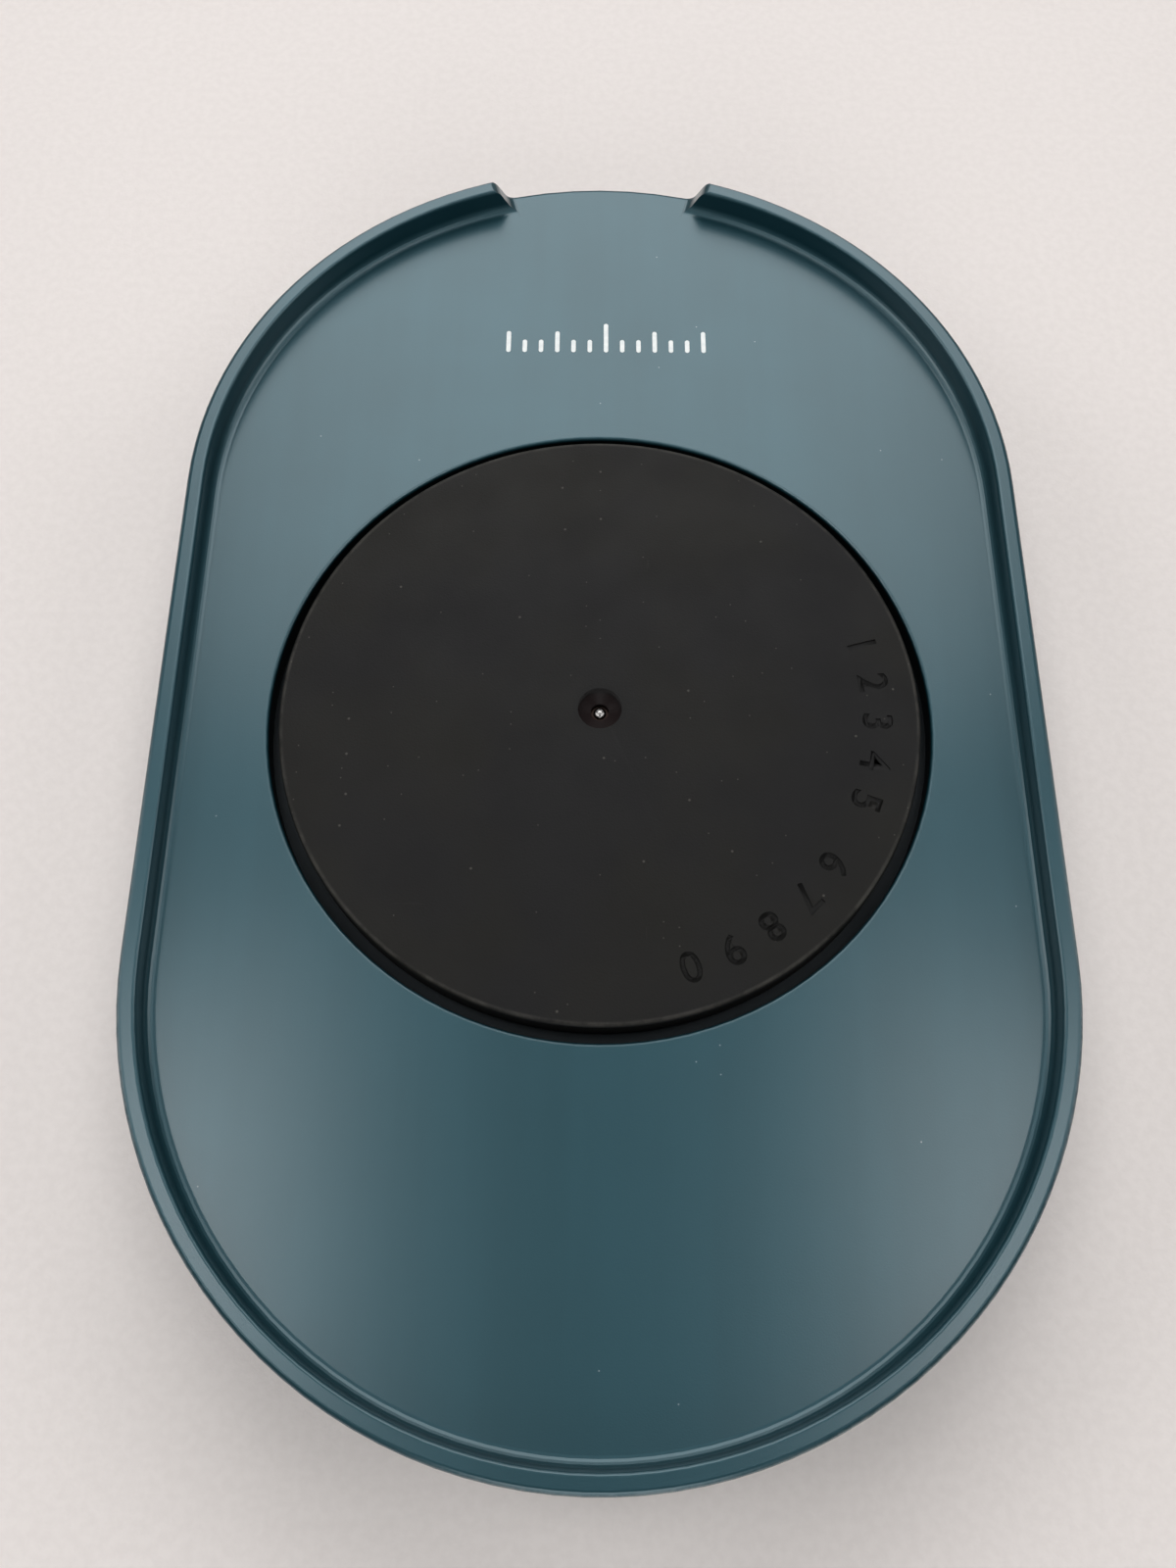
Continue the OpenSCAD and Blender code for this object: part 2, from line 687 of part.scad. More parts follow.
module output_gear() {
    hub_r = spindle_r + 2;
    hub_top_z = clip_z - 0.6;
    rim_r = module_3 * output_teeth / 2 - 1.25 * module_3 - 1.2;
    mid_r = (rim_r + hub_r) / 2;
    color(gear_color) difference() {
        union() {
            toothed(module_3, output_teeth, second_dir, false, output_wheel_z, output_wheel_t);
            translate([0, 0, output_wheel_z])
                cylinder(hub_top_z - output_wheel_z, r = hub_r);
        }
        difference() {
            translate([0, 0, output_wheel_z - past])
                cylinder(hub_top_z - output_wheel_z + 2 * past, r = spindle_r + seat_fit);
            translate([spindle_r - spindle_flat + seat_fit, -spindle_r, output_wheel_z - past])
                cube([spindle_r, 2 * spindle_r, hub_top_z]);
        }
        // the web is thinner than the toothed rim
        tube(rim_r, hub_r, output_wheel_z + 1.5, output_wheel_t);
        lightening(6, mid_r, (rim_r - hub_r) * 0.3, output_wheel_z, output_wheel_t);
    }
}

// A wheel with its pinion below it, moulded in one piece on a common bore
module compound_gear(wheel_m, wheel_teeth, wheel_dir, wheel_z, wheel_t,
                     pinion_m, pinion_dir, pinion_z) {
    rim_r = wheel_m * wheel_teeth / 2 - 1.25 * wheel_m - 1;
    hub_r = max(gear_hub_r, pinion_m * pinion_teeth / 2 + pinion_m);
    top_z = wheel_z + wheel_t;
    difference() {
        union() {
            toothed(wheel_m, wheel_teeth, wheel_dir, false, wheel_z, wheel_t);
            toothed(pinion_m, pinion_teeth, pinion_dir, true, pinion_z, wheel_z - pinion_z + 0.1);
            translate([0, 0, wheel_z]) cylinder(wheel_t + 0.3, r = gear_hub_r);
        }
        tube(rim_r, hub_r, top_z - 0.5, wheel_t);
        tube(rim_r, hub_r, wheel_z - wheel_t + 0.4, wheel_t);
        lightening(5, (rim_r + hub_r) / 2, (rim_r - hub_r) * 0.3, wheel_z, wheel_t);
        translate([0, 0, pinion_z - past])
            cylinder(top_z + 0.3 - pinion_z + 2 * past, r = pin_d / 2 + run_fit);
    }
}

module second_gear() {
    color(gear_color) translate([second_c[0], second_c[1], 0])
        compound_gear(module_2, second_teeth, first_dir, second_wheel_z, second_wheel_t,
                      module_3, second_dir + 180, second_pinion_z);
}

module first_gear() {
    color(gear_color) translate([first_c[0], first_c[1], 0])
        compound_gear(module_1, first_teeth, motor_dir, first_wheel_z, first_wheel_t,
                      module_2, first_dir + 180, first_pinion_z);
}

// A plain steel pin from the gear frame up to its socket in the top cover
module gear_pin(centre) {
    color(steel_color) translate([centre[0], centre[1], pin_foot_z])
        cylinder(pin_top_z - pin_foot_z, r = pin_d / 2);
}

module second_gear_pin() {
    gear_pin(second_c);
}

module first_gear_pin() {
    gear_pin(first_c);
}

// ---- Gear frame and motor ----

// Plan of the frame: lobes round the spindle and the motor, drawn together
module frame_plan() {
    lobe_r = small_boss_r + 0.6;
    hull() {
        for (p = [frame_pads[0], frame_pads[1]]) translate(p) circle(lobe_r, $fn = 32);
        translate(second_c) circle(lobe_r, $fn = 32);
        translate(motor_ears[1]) circle(lobe_r, $fn = 32);
    }
    hull() {
        translate(frame_pads[2]) circle(lobe_r, $fn = 32);
        translate(frame_pads[3]) circle(lobe_r, $fn = 32);
        for (p = motor_ears) translate(p) circle(lobe_r, $fn = 32);
        translate(second_c) circle(lobe_r, $fn = 32);
        translate(motor_c) circle(motor_d / 2 + 1.8, $fn = 48);
    }
}

module gear_frame() {
    cup_r = motor_d / 2 + 0.2;
    cup_top_z = frame_top_z + 3.4;
    color(frame_color) difference() {
        union() {
            translate([0, 0, frame_z]) linear_extrude(frame_t) frame_plan();
            translate([0, 0, frame_z]) cylinder(lower_flange_z - frame_z, r = bush_boss_r);
            at_each(frame_pads) translate([0, 0, frame_z]) cylinder(frame_pad_t, r = small_boss_r + 0.4);
            at_each([motor_c]) translate([0, 0, frame_z])
                cylinder(cup_top_z - frame_z, r = cup_r + 1.4, $fn = 96);
            at_each(motor_ears) translate([0, 0, frame_z])
                cylinder(motor_top_z - motor_flange_t - frame_z, r = ear_r);
            at_each([first_c]) translate([0, 0, frame_z])
                cylinder(first_pinion_z - 0.3 - frame_z, r = gear_hub_r);
            at_each([second_c]) translate([0, 0, frame_z])
                cylinder(second_pinion_z - 0.3 - frame_z, r = gear_hub_r);
        }
        at_each([motor_c]) translate([0, 0, frame_z - past])
            cylinder(motor_top_z, r = cup_r, $fn = 96);
        translate([0, 0, frame_z - past]) cylinder(motor_top_z, r = bush_r + seat_fit);
        at_each(frame_pads) {
            translate([0, 0, frame_z - past])
                cylinder(frame_pad_t + 2 * past, r = small_screw_d / 2 + pass_fit);
            translate([0, 0, frame_z - past])
                cylinder(frame_seat_z - frame_z + past, r = head_d / 2 + head_fit);
        }
        at_each(motor_ears) translate([0, 0, motor_top_z - motor_screw_l - tip_room])
            cylinder(motor_h, r = small_screw_d / 2 + seat_fit);
        at_each([first_c, second_c]) translate([0, 0, pin_foot_z])
            cylinder(motor_top_z, r = pin_d / 2 + seat_fit);
        // notch in the motor's cup for its terminal block
        translate([motor_c[0], motor_c[1] - terminal_w / 2 - 0.3, lead_z - terminal_h / 2 - 0.3])
            cube([motor_d, terminal_w + 0.6, motor_h]);
    }
}

// A drawn steel can with a flange and two ears on top
module motor_can() {
    flange_z = motor_top_z - motor_flange_t;
    color(steel_color) difference() {
        union() {
            at_each([motor_c]) translate([0, 0, frame_z]) cylinder(motor_h, r = motor_d / 2, $fn = 96);
            translate([0, 0, flange_z]) linear_extrude(motor_flange_t) hull() {
                for (p = motor_ears) translate(p) circle(ear_r, $fn = 48);
            }
        }
        at_each([motor_c]) translate([0, 0, frame_z + 1.5])
            cylinder(motor_h, r = motor_shaft_d / 2 + run_fit);
        at_each([motor_c]) tube(motor_d, motor_d / 2 - 1, frame_z - past, past + 0.6);
        at_each(motor_ears) translate([0, 0, flange_z - past])
            cylinder(motor_flange_t + 2 * past, r = small_screw_d / 2 + pass_fit);
    }
}

module motor_terminal() {
    color(gear_color) difference() {
        translate([terminal_x - terminal_l - 1, motor_c[1] - terminal_w / 2, lead_z - terminal_h / 2])
            cube([terminal_l + 1, terminal_w, terminal_h]);
        at_each([motor_c]) cylinder(motor_top_z, r = motor_d / 2 + seat_fit, $fn = 96);
    }
}

module motor_shaft() {
    foot_z = frame_z + 1.6;
    color(steel_color) translate([motor_c[0], motor_c[1], foot_z])
        cylinder(first_wheel_z + first_wheel_t + 0.4 - foot_z, r = motor_shaft_d / 2);
}

module motor_pinion() {
    color(brass_color) difference() {
        translate([motor_c[0], motor_c[1], 0])
            toothed(module_1, pinion_teeth, motor_dir + 180, true,
                    first_wheel_z - mesh_over, first_wheel_t + 2 * mesh_over);
        translate([motor_c[0], motor_c[1], motor_top_z])
            cylinder(motor_h, r = motor_shaft_d / 2 + seat_fit);
    }
}

// ---- Electronics ----

module circuit_board() {
    color("darkgreen") translate([0, 0, board_z]) linear_extrude(board_t) difference() {
        intersection() {
            stadium(board_r);
            union() {
                translate([board_left_x, board_rear_y])
                    square([board_side_x - board_left_x + past, board_rear_l]);
                translate([board_side_x, board_front_y])
                    square([board_side_w, board_rear_y + board_rear_l - board_front_y]);
            }
        }
        for (p = case_screws_at) translate(p) circle(case_well_r + board_gap / 2);
        for (p = board_posts) translate(p) circle(small_screw_d / 2 + pass_fit);
    }
}

// The drawn steel shell of the power socket, open to the rear
module socket_shell() {
    color(steel_color) translate([0, 0, socket_z]) difference() {
        translate([0, socket_back_y, 0]) round_slot(socket_w, socket_h, socket_l);
        translate([0, socket_back_y + 1.2, 0])
            round_slot(socket_w - 2 * socket_wall, socket_h - 2 * socket_wall, socket_l);
    }
}

module socket_tongue() {
    back_y = socket_back_y + 1.2;
    color(disc_color) translate([-6.7 / 2, back_y, socket_z - 0.35])
        cube([6.7, socket_l - 1.2 - 0.6, 0.7]);
}

module switch_body() {
    slot_l = stem_l + switch_travel + 2 * cap_clear;
    color(steel_color) difference() {
        translate([switch_x - switch_w, switch_y - switch_l / 2, board_top_z])
            cube([switch_w, switch_l, switch_h]);
        translate([switch_x - 1.6, switch_y - slot_l / 2, stem_z - stem_h / 2 - 0.2])
            cube([2, slot_l, stem_h + 0.4]);
    }
}

// Slider in its off position, at the front end of its track
module switch_slider() {
    cap_x = half_w - track_depth + 0.1;
    cap_t = track_depth - 0.1 + cap_proud;
    rest_y = switch_y - switch_travel / 2;
    color(disc_color) difference() {
        union() {
            translate([stem_tip_x, rest_y - stem_l / 2, stem_z - stem_h / 2])
                cube([cap_x - stem_tip_x + past, stem_l, stem_h]);
            translate([cap_x, rest_y, stem_z]) rotate([0, 90, 0]) linear_extrude(cap_t)
                square([cap_h, cap_l], center = true);
        }
        // grip grooves across the cap
        for (i = [-2:2]) translate([cap_x + cap_t, rest_y + i * 1.1, stem_z])
            rotate([0, 0, 45]) cube([0.5, 0.5, cap_h + past], center = true);
    }
}

module control_chip() {
    chip = [6, 9.9, 1.6];
    at = [board_side_x - 13, board_rear_y + 7];
    lead_count = 8;
    color(disc_color) {
        translate([at[0] - chip[0] / 2 + 1, at[1] - chip[1] / 2, board_top_z + 0.1])
            cube([chip[0] - 2, chip[1], chip[2]]);
        for (i = [0:lead_count - 1])
            translate([at[0] - chip[0] / 2, at[1] + (i - (lead_count - 1) / 2) * 1.2 - 0.2, board_top_z])
                cube([chip[0], 0.4, 0.3]);
    }
}

module capacitor() {
    can_r = 3.15;
    // it stands in front of the case screw's boss, with this much room between them
    boss_room = 2.9;
    at = [board_side_x + 11, tray_l / 2 - case_inset_y - case_well_r - boss_room - can_r];
    color(steel_color) translate([at[0], at[1], board_top_z]) rotate_extrude() polygon(concat(
        [[0, 0], [can_r, 0], [can_r, 0.8], [can_r - 0.3, 1.1], [can_r, 1.4]],
        arc(can_r - 0.4, 5, 0.4, 0, 90), [[0, 5.4]]));
}

// A two-way header that the motor's leads plug into
module lead_connector() {
    color(gear_color) translate([lead_x + lead_pitch / 2, connector_front_y, board_top_z])
        difference() {
            translate([-connector_w / 2, 0, 0]) cube([connector_w, connector_l, connector_h]);
            translate([-connector_w / 2 + 0.6, -past, lead_z - board_top_z + lead_d])
                cube([connector_w - 1.2, 2.4, connector_h]);
        }
}

// A tube of round section along level stations, each an x, a y and a heading in degrees
module level_tube(stations, r, z, sides = 10) {
    last = len(stations) - 1;
    points = [for (s = stations, k = [0:sides - 1]) let (a = k * 360 / sides)
        [s[0] - sin(s[2]) * r * cos(a), s[1] + cos(s[2]) * r * cos(a), z + r * sin(a)]];
    sheath = [for (i = [0:last - 1], k = [0:sides - 1])
        let (a = i * sides + k, b = i * sides + (k + 1) % sides)
        each [[a, a + sides, b], [b, a + sides, b + sides]]];
    ends = [[for (k = [0:sides - 1]) k], [for (k = [sides - 1:-1:0]) last * sides + k]];
    polyhedron(points, concat(sheath, ends));
}

// A lead from the motor's terminal, round one bend, and back to its connector
module motor_lead(row) {
    bend_r = lead_bend_r + row * lead_pitch;
    bend_x = lead_x - lead_bend_r;
    start_y = motor_c[1] + (0.5 - row) * lead_pitch;
    bend = [for (a = [0:15:90]) [bend_x + bend_r * sin(a), start_y + bend_r * (1 - cos(a)), a]];
    level_tube(concat([[terminal_x, start_y, 0]], bend,
        [[bend_x + bend_r, connector_front_y, 90]]), lead_d / 2, lead_z);
}

module red_lead() {
    color("firebrick") motor_lead(0);
}

module black_lead() {
    color([0.1, 0.1, 0.1]) motor_lead(1);
}

// ---- Fasteners and feet ----

module case_screws() {
    color(steel_color) at_each(case_screws_at) translate([0, 0, head_seat_z])
        screw(case_head_d, case_head_h, case_screw_d, case_screw_l);
}

module frame_screws() {
    color(steel_color) at_each(frame_pads) translate([0, 0, frame_seat_z])
        screw(head_d, head_h, small_screw_d, frame_screw_l);
}

module motor_screws() {
    color(steel_color) at_each(motor_ears) translate([0, 0, motor_top_z]) mirror([0, 0, 1])
        screw(head_d, head_h, small_screw_d, motor_screw_l);
}

module board_screws() {
    color(steel_color) at_each(board_posts) translate([0, 0, board_top_z]) mirror([0, 0, 1])
        screw(head_d, head_h, small_screw_d, board_screw_l);
}

module rubber_feet() {
    bevel = 0.3;
    r = foot_d / 2;
    color([0.09, 0.09, 0.1]) at_each(feet_at) rotate_extrude() polygon([
        [0, 0], [r - bevel, 0], [r, bevel], [r, base_z + foot_seat], [0, base_z + foot_seat]]);
}

top_cover();
bottom_cover();
turntable();
spindle();
upper_bush();
lower_bush();
thrust_washer();
retaining_clip();
output_gear();
second_gear();
first_gear();
second_gear_pin();
first_gear_pin();
gear_frame();
motor_can();
motor_terminal();
motor_shaft();
motor_pinion();
circuit_board();
socket_shell();
socket_tongue();
switch_body();
switch_slider();
control_chip();
capacitor();
lead_connector();
red_lead();
black_lead();
case_screws();
frame_screws();
motor_screws();
board_screws();
rubber_feet();
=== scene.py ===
"""Looks of a mouse jiggler: a shallow tray with a motor-driven turntable under the mouse."""

import math

import bmesh
import bpy
import numpy as np
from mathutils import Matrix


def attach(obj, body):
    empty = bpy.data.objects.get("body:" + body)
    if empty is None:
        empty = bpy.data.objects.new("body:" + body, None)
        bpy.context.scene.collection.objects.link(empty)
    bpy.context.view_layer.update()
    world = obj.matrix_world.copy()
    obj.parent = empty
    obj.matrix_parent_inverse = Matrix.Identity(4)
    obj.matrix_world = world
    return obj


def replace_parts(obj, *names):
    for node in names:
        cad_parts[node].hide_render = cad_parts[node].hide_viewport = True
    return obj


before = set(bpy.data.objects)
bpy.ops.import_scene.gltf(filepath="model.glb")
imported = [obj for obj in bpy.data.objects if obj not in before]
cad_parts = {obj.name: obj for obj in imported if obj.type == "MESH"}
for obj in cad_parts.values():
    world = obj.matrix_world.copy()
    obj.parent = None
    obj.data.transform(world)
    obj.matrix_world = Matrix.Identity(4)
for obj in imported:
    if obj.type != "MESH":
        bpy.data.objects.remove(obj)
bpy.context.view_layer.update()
MM = 0.001


# ---- Camera ----
# It stands over the front end of the tray and looks steeply down at it. The lens goes with
# the picture's long side, which is its height.
camera = bpy.data.objects.new("camera", bpy.data.cameras.new("camera"))
bpy.context.scene.collection.objects.link(camera)
camera.location = (-1.32 * MM, -61.62 * MM, 150.71 * MM)
camera.rotation_euler = [math.radians(turn) for turn in (22.1316, -0.1443, 0.2708)]
camera.data.sensor_width = 36
camera.data.lens = 30.426
camera.data.clip_start = 0.01
camera.data.clip_end = 20
bpy.context.scene.camera = camera
bpy.context.scene.view_settings.view_transform = "Standard"


# ---- Desk and light ----
# The tray stands on a pale painted desk top. A tall window lies beyond it, two long ceiling
# lamps hang to its left and right, and weaker light comes from both sides and from behind.
class Signal:
    """A value that changes over a surface: one output in a finish's node tree.

    Sums, products and differences of signals and numbers add Math nodes to the tree.
    """

    def __init__(self, tree, socket=None):
        self.tree, self.socket = tree, socket

    def node(self, kind, settings=None, inputs=None, out=0):
        """Adds a node of that kind, sets it, then feeds its sockets; gives one output."""
        made = self.tree.nodes.new("ShaderNode" + kind)
        for name, value in (settings or {}).items():
            setattr(made, name, value)
        for name, value in (inputs or {}).items():
            if isinstance(value, Signal):
                self.tree.links.new(value.socket, made.inputs[name])
            else:
                made.inputs[name].default_value = value
        return Signal(self.tree, made.outputs[out])

    def maths(self, operation, *others):
        """A Math node on this signal and the others."""
        return self.node("Math", {"operation": operation}, dict(enumerate((self, *others))))

    def __add__(self, other):
        return self.maths("ADD", other)

    def __sub__(self, other):
        return self.maths("SUBTRACT", other)

    def __rsub__(self, other):
        return self.maths("MULTIPLY_ADD", -1, other)

    def __mul__(self, other):
        return self.maths("MULTIPLY", other)

    def __pow__(self, other):
        return self.maths("POWER", other)

    __radd__, __rmul__ = __add__, __mul__

    def ease(self, low, high):
        """0 at low, 1 at high, and an S-curve between; low may be the larger one."""
        if low > high:
            return 1 - self.ease(high, low)
        limits = {"Value": self, "From Min": low, "From Max": high}
        return self.node("MapRange", {"interpolation_type": "SMOOTHSTEP"}, limits)

    def band(self, centre, half, soft):
        """1 within half of centre, fading to 0 over soft."""
        return (self - centre).maths("ABSOLUTE").ease(half + soft, half)

    def tint(self, base, other):
        """The colour base where the signal is 0, and other where it is 1."""
        a, b = [c if isinstance(c, Signal) else (*c, 1) for c in (base, other)]
        return self.node("Mix", {"data_type": "RGBA"}, {0: self, 6: a, 7: b}, out=2)

    def split(self):
        """The x, y and z of a vector signal."""
        parts = self.node("SeparateXYZ", {}, {0: self}).socket.node.outputs
        return [Signal(self.tree, part) for part in parts]

    def stretched(self, along, turned=(0, 0, 0)):
        """The same coordinates, turned and then scaled by a factor on each axis."""
        fed = {"Vector": self, "Rotation": turned, "Scale": along}
        return self.node("Mapping", {}, fed)

    def noise(self, per_metre, detail=2.0, roughness=0.5):
        """Soft random values about 0.5, with that many changes in a metre."""
        fed = {"Vector": self, "Scale": per_metre, "Detail": detail, "Roughness": roughness}
        return self.node("TexNoise", {}, fed)

    def specks(self, per_metre, radius, share, spread="3D"):
        """Round specks of that radius in metres, in that share of the pattern's cells.

        Cells spread in 2D stand upright, so that each shows on a level face.
        """
        cells, kept = {"Vector": self, "Scale": per_metre}, {"voronoi_dimensions": spread}
        near = self.node("TexVoronoi", kept, cells, out="Distance")
        kind = self.node("TexVoronoi", kept, cells, out="Color").split()[0]
        size = radius * per_metre
        return near.ease(size, size * 0.6) * kind.ease(share, share * 0.98)


class Finish:
    """A material: its Principled shader with fixed values, and the coordinates it reads."""

    def __init__(self, name, **fixed):
        self.material = bpy.data.materials.new(name)
        self.material.use_nodes = True
        self.tree = self.material.node_tree
        self.shader = self.tree.nodes["Principled BSDF"]
        for words, value in fixed.items():
            self.socket(words).default_value = value
        self.place = Signal(self.tree).node("TexCoord", out="Object")

    def socket(self, words):
        """The shader's socket of that name, written base_color for Base Color."""
        return self.shader.inputs[words.replace("_", " ").title().replace("Ior", "IOR")]

    def feed(self, **signals):
        """Joins signals to the shader's sockets."""
        for words, signal in signals.items():
            self.tree.links.new(signal.socket, self.socket(words))
        return self

    def bump(self, height, depth):
        """Raises and lowers the surface by depth metres where height goes from 0 to 1."""
        return self.feed(normal=height.node("Bump", {}, {"Distance": depth, "Height": height}))

    def on(self, *names):
        """Gives this finish to CAD nodes."""
        for name in names:
            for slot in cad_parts[name].material_slots:
                slot.material = self.material
        return self


def lamp(name, place, wide, deep, watts):
    """A soft lamp facing the tray: metres wide across the way to it, and deep along it."""
    data = bpy.data.lights.new(name, "AREA")
    data.shape, data.energy = "RECTANGLE", watts
    data.size, data.size_y = wide, deep
    made = bpy.data.objects.new(name, data)
    bpy.context.scene.collection.objects.link(made)
    made.location = place
    x, y, z = place
    made.rotation_euler = (math.atan2(math.hypot(x, y), z), 0, math.atan2(x, -y))


lamp("window", (0, 0.75, 0.75), 0.8, 0.8, 5.6)
lamp("ceiling_left", (-0.33, -0.03, 0.83), 0.34, 0.16, 0.85)
lamp("ceiling_right", (0.33, -0.03, 0.83), 0.34, 0.16, 0.7)
lamp("inner_left", (-0.245, 0, 0.87), 0.45, 0.1, 0.46)
lamp("inner_right", (0.245, 0, 0.87), 0.45, 0.1, 0.44)
lamp("far_left", (-0.75, 0.1, 0.6), 0.5, 0.5, 2.1)
lamp("far_right", (0.75, 0.1, 0.6), 0.5, 0.5, 1.7)
lamp("behind", (0, -1.0, 0.5), 0.6, 0.6, 3.5)

world = bpy.data.worlds.new("room")
bpy.context.scene.world = world
world.use_nodes = True
room = world.node_tree
seen = Signal(room).node("LightPath", out="Is Camera Ray")
air = seen.tint((0.08, 0.08, 0.08), (0.80, 0.765, 0.745))
room.links.new(air.socket, room.nodes["Background"].inputs["Color"])

desk_half = 3.0
desk_mesh = bpy.data.meshes.new("desk")
desk_corners = np.array([[-1, -1, 0], [1, -1, 0], [1, 1, 0], [-1, 1, 0]]) * desk_half
desk_mesh.from_pydata(desk_corners.tolist(), [], [[0, 1, 2, 3]])
desk = bpy.data.objects.new("desk", desk_mesh)
bpy.context.scene.collection.objects.link(desk)
desk_paint = Finish("desk_paint", roughness=0.55, specular_ior_level=0.3)
mottle = desk_paint.place.noise(900, 4).ease(0.3, 0.7)
desk_paint.feed(base_color=mottle.tint((0.77, 0.715, 0.69), (0.80, 0.745, 0.72)))
desk_paint.bump(desk_paint.place.noise(2500, 3), 0.03 * MM)
desk_mesh.materials.append(desk_paint.material)


# ---- Rubber feet ----
# Four feet die-cut from fine black rubber and glued into shallow seats in the base.
foot_rubber = Finish("foot_rubber", specular_ior_level=0.3)
bloom = foot_rubber.place.noise(350, 4).ease(0.35, 0.7)
foot_rubber.feed(
    base_color=bloom.tint((0.028, 0.028, 0.03), (0.042, 0.041, 0.04)),
    roughness=bloom * 0.1 + 0.72,
)
foot_rubber.bump(foot_rubber.place.noise(3800, 3), 0.03 * MM).on("rubber_feet")


# ---- Gear frame ----
# A dark plate moulded in glass-filled nylon, with a cup for the motor and bosses for the
# lower bush and the gears' pins. Glass fibres show as fine pale streaks.
frame_nylon = Finish("frame_nylon", specular_ior_level=0.4)
fibres = frame_nylon.place.stretched((1400, 300, 900), (0, 0, 0.5)).noise(1.0).ease(0.6, 0.75)
frame_nylon.feed(
    base_color=(fibres * 0.4).tint((0.055, 0.06, 0.065), (0.15, 0.155, 0.16)),
    roughness=frame_nylon.place.noise(180, 4).ease(0.3, 0.7) * 0.12 + 0.5,
)
frame_nylon.bump(frame_nylon.place.noise(3000, 3), 0.02 * MM).on("gear_frame")


# ---- Bushes and motor pinion ----
# The bushes are pressed from bronze powder and sized, so fine pores show; the pinion has the
# same colour.
bush_bronze = Finish("bush_bronze", metallic=1.0)
pores = bush_bronze.place.noise(4200, 2).ease(0.52, 0.62)
bush_bronze.feed(
    base_color=pores.tint((0.66, 0.50, 0.24), (0.34, 0.24, 0.11)),
    roughness=pores * 0.25 + 0.3,
)
bush_bronze.bump(1 - pores, 0.01 * MM).on("upper_bush", "lower_bush", "motor_pinion")


# ---- Gears and washer ----
# Moulded in natural acetal: ivory, slightly waxy, with faint flow marks.
acetal = Finish("acetal", coat_weight=0.15, coat_roughness=0.25)
flow = acetal.place.stretched((90, 90, 400)).noise(1.0, 3).ease(0.35, 0.65)
acetal.feed(
    base_color=flow.tint((0.74, 0.72, 0.65), (0.81, 0.79, 0.73)),
    roughness=acetal.place.noise(260, 3).ease(0.3, 0.7) * 0.1 + 0.34,
)
acetal.bump(acetal.place.noise(900, 3), 0.01 * MM)
acetal.on("output_gear", "second_gear", "first_gear", "thrust_washer")


# ---- Spindle, pins, shaft and clip ----
# Ground steel bar, with the fine rings that turning leaves round it. The spindle's nose is
# painted dark but for its middle: painted shade that leaves only a small glint.
nose_z = 18.5 * MM
unshaded_nose_r = 0.4 * MM
ground_steel = Finish("ground_steel", metallic=1.0)
x, y, z = ground_steel.place.split()
rings = ground_steel.place.stretched((60, 60, 9000)).noise(1.0, 3).ease(0.3, 0.7)
# Painted shade: the nose is made near black outside a small middle, so its glint stays small.
painted_nose_shade = ((x * x + y * y) ** 0.5).ease(unshaded_nose_r, unshaded_nose_r + 0.2 * MM)
painted_nose_shade *= z.ease(nose_z, nose_z + 0.3 * MM)
steel_tone = rings.tint((0.34, 0.33, 0.32), (0.44, 0.43, 0.42))
ground_steel.feed(
    base_color=painted_nose_shade.tint(steel_tone, (0.02, 0.014, 0.012)),
    roughness=rings * 0.1 + 0.24,
)
ground_steel.bump(rings, 0.003 * MM)
ground_steel.on("spindle", "second_gear_pin", "first_gear_pin", "motor_shaft", "retaining_clip")


# ---- Motor ----
# A drawn can of nickel-plated steel with a flange, and a moulded block for its terminals.
plated_steel = Finish("plated_steel", metallic=1.0)
drawn = plated_steel.place.stretched((500, 500, 60)).noise(1.0, 4, 0.6).ease(0.35, 0.7)
plated_steel.feed(
    base_color=drawn.tint((0.70, 0.69, 0.66), (0.62, 0.61, 0.58)),
    roughness=drawn * 0.14 + 0.2,
)
plated_steel.bump(plated_steel.place.noise(2600, 2), 0.003 * MM)
plated_steel.on("motor_can", "socket_shell", "switch_body")

pale_plastic = Finish("pale_plastic", specular_ior_level=0.45)
sink = pale_plastic.place.noise(300, 3).ease(0.35, 0.65)
pale_plastic.feed(
    base_color=sink.tint((0.72, 0.71, 0.66), (0.78, 0.77, 0.73)),
    roughness=sink * 0.1 + 0.42,
)
pale_plastic.bump(pale_plastic.place.noise(2400, 2), 0.008 * MM)
pale_plastic.on("motor_terminal", "lead_connector")


# ---- Circuit board ----
# Glass-epoxy laminate under green solder mask. Copper tracks stand out under the mask, and
# tinned pads lie bare round the parts.
board_mask = Finish("board_mask", coat_weight=0.5, coat_roughness=0.12)
weave = board_mask.place.stretched((2400, 2400, 2400)).noise(1.0, 1).ease(0.4, 0.6)
board_mask.feed(
    base_color=weave.tint((0.012, 0.105, 0.05), (0.018, 0.125, 0.06)),
    roughness=board_mask.place.noise(200, 3).ease(0.3, 0.7) * 0.1 + 0.28,
)
board_mask.bump(weave, 0.004 * MM).on("circuit_board")


def plate(outline, low, high):
    """A flat plate: a closed outline of n points, carried from height low to height high."""
    outline = np.asarray(outline, float)
    n = len(outline)
    points = np.vstack([np.c_[outline, np.full(n, low)], np.c_[outline, np.full(n, high)]])
    i = np.arange(n)
    j = (i + 1) % n
    walls = np.c_[i, j, j + n, i + n].tolist()
    mesh = bpy.data.meshes.new("plate")
    mesh.from_pydata(points.tolist(), [], walls + [i[::-1].tolist(), (i + n).tolist()])
    return mesh


def joined(meshes):
    """One mesh out of several, in the order given."""
    points, faces, first = [], [], 0
    for mesh in meshes:
        at = np.zeros(len(mesh.vertices) * 3)
        mesh.vertices.foreach_get("co", at)
        points.append(at.reshape(-1, 3))
        faces += [[v + first for v in face.vertices] for face in mesh.polygons]
        first += len(mesh.vertices)
        bpy.data.meshes.remove(mesh)
    whole = bpy.data.meshes.new("joined")
    whole.from_pydata(np.vstack(points).tolist(), [], faces)
    return whole


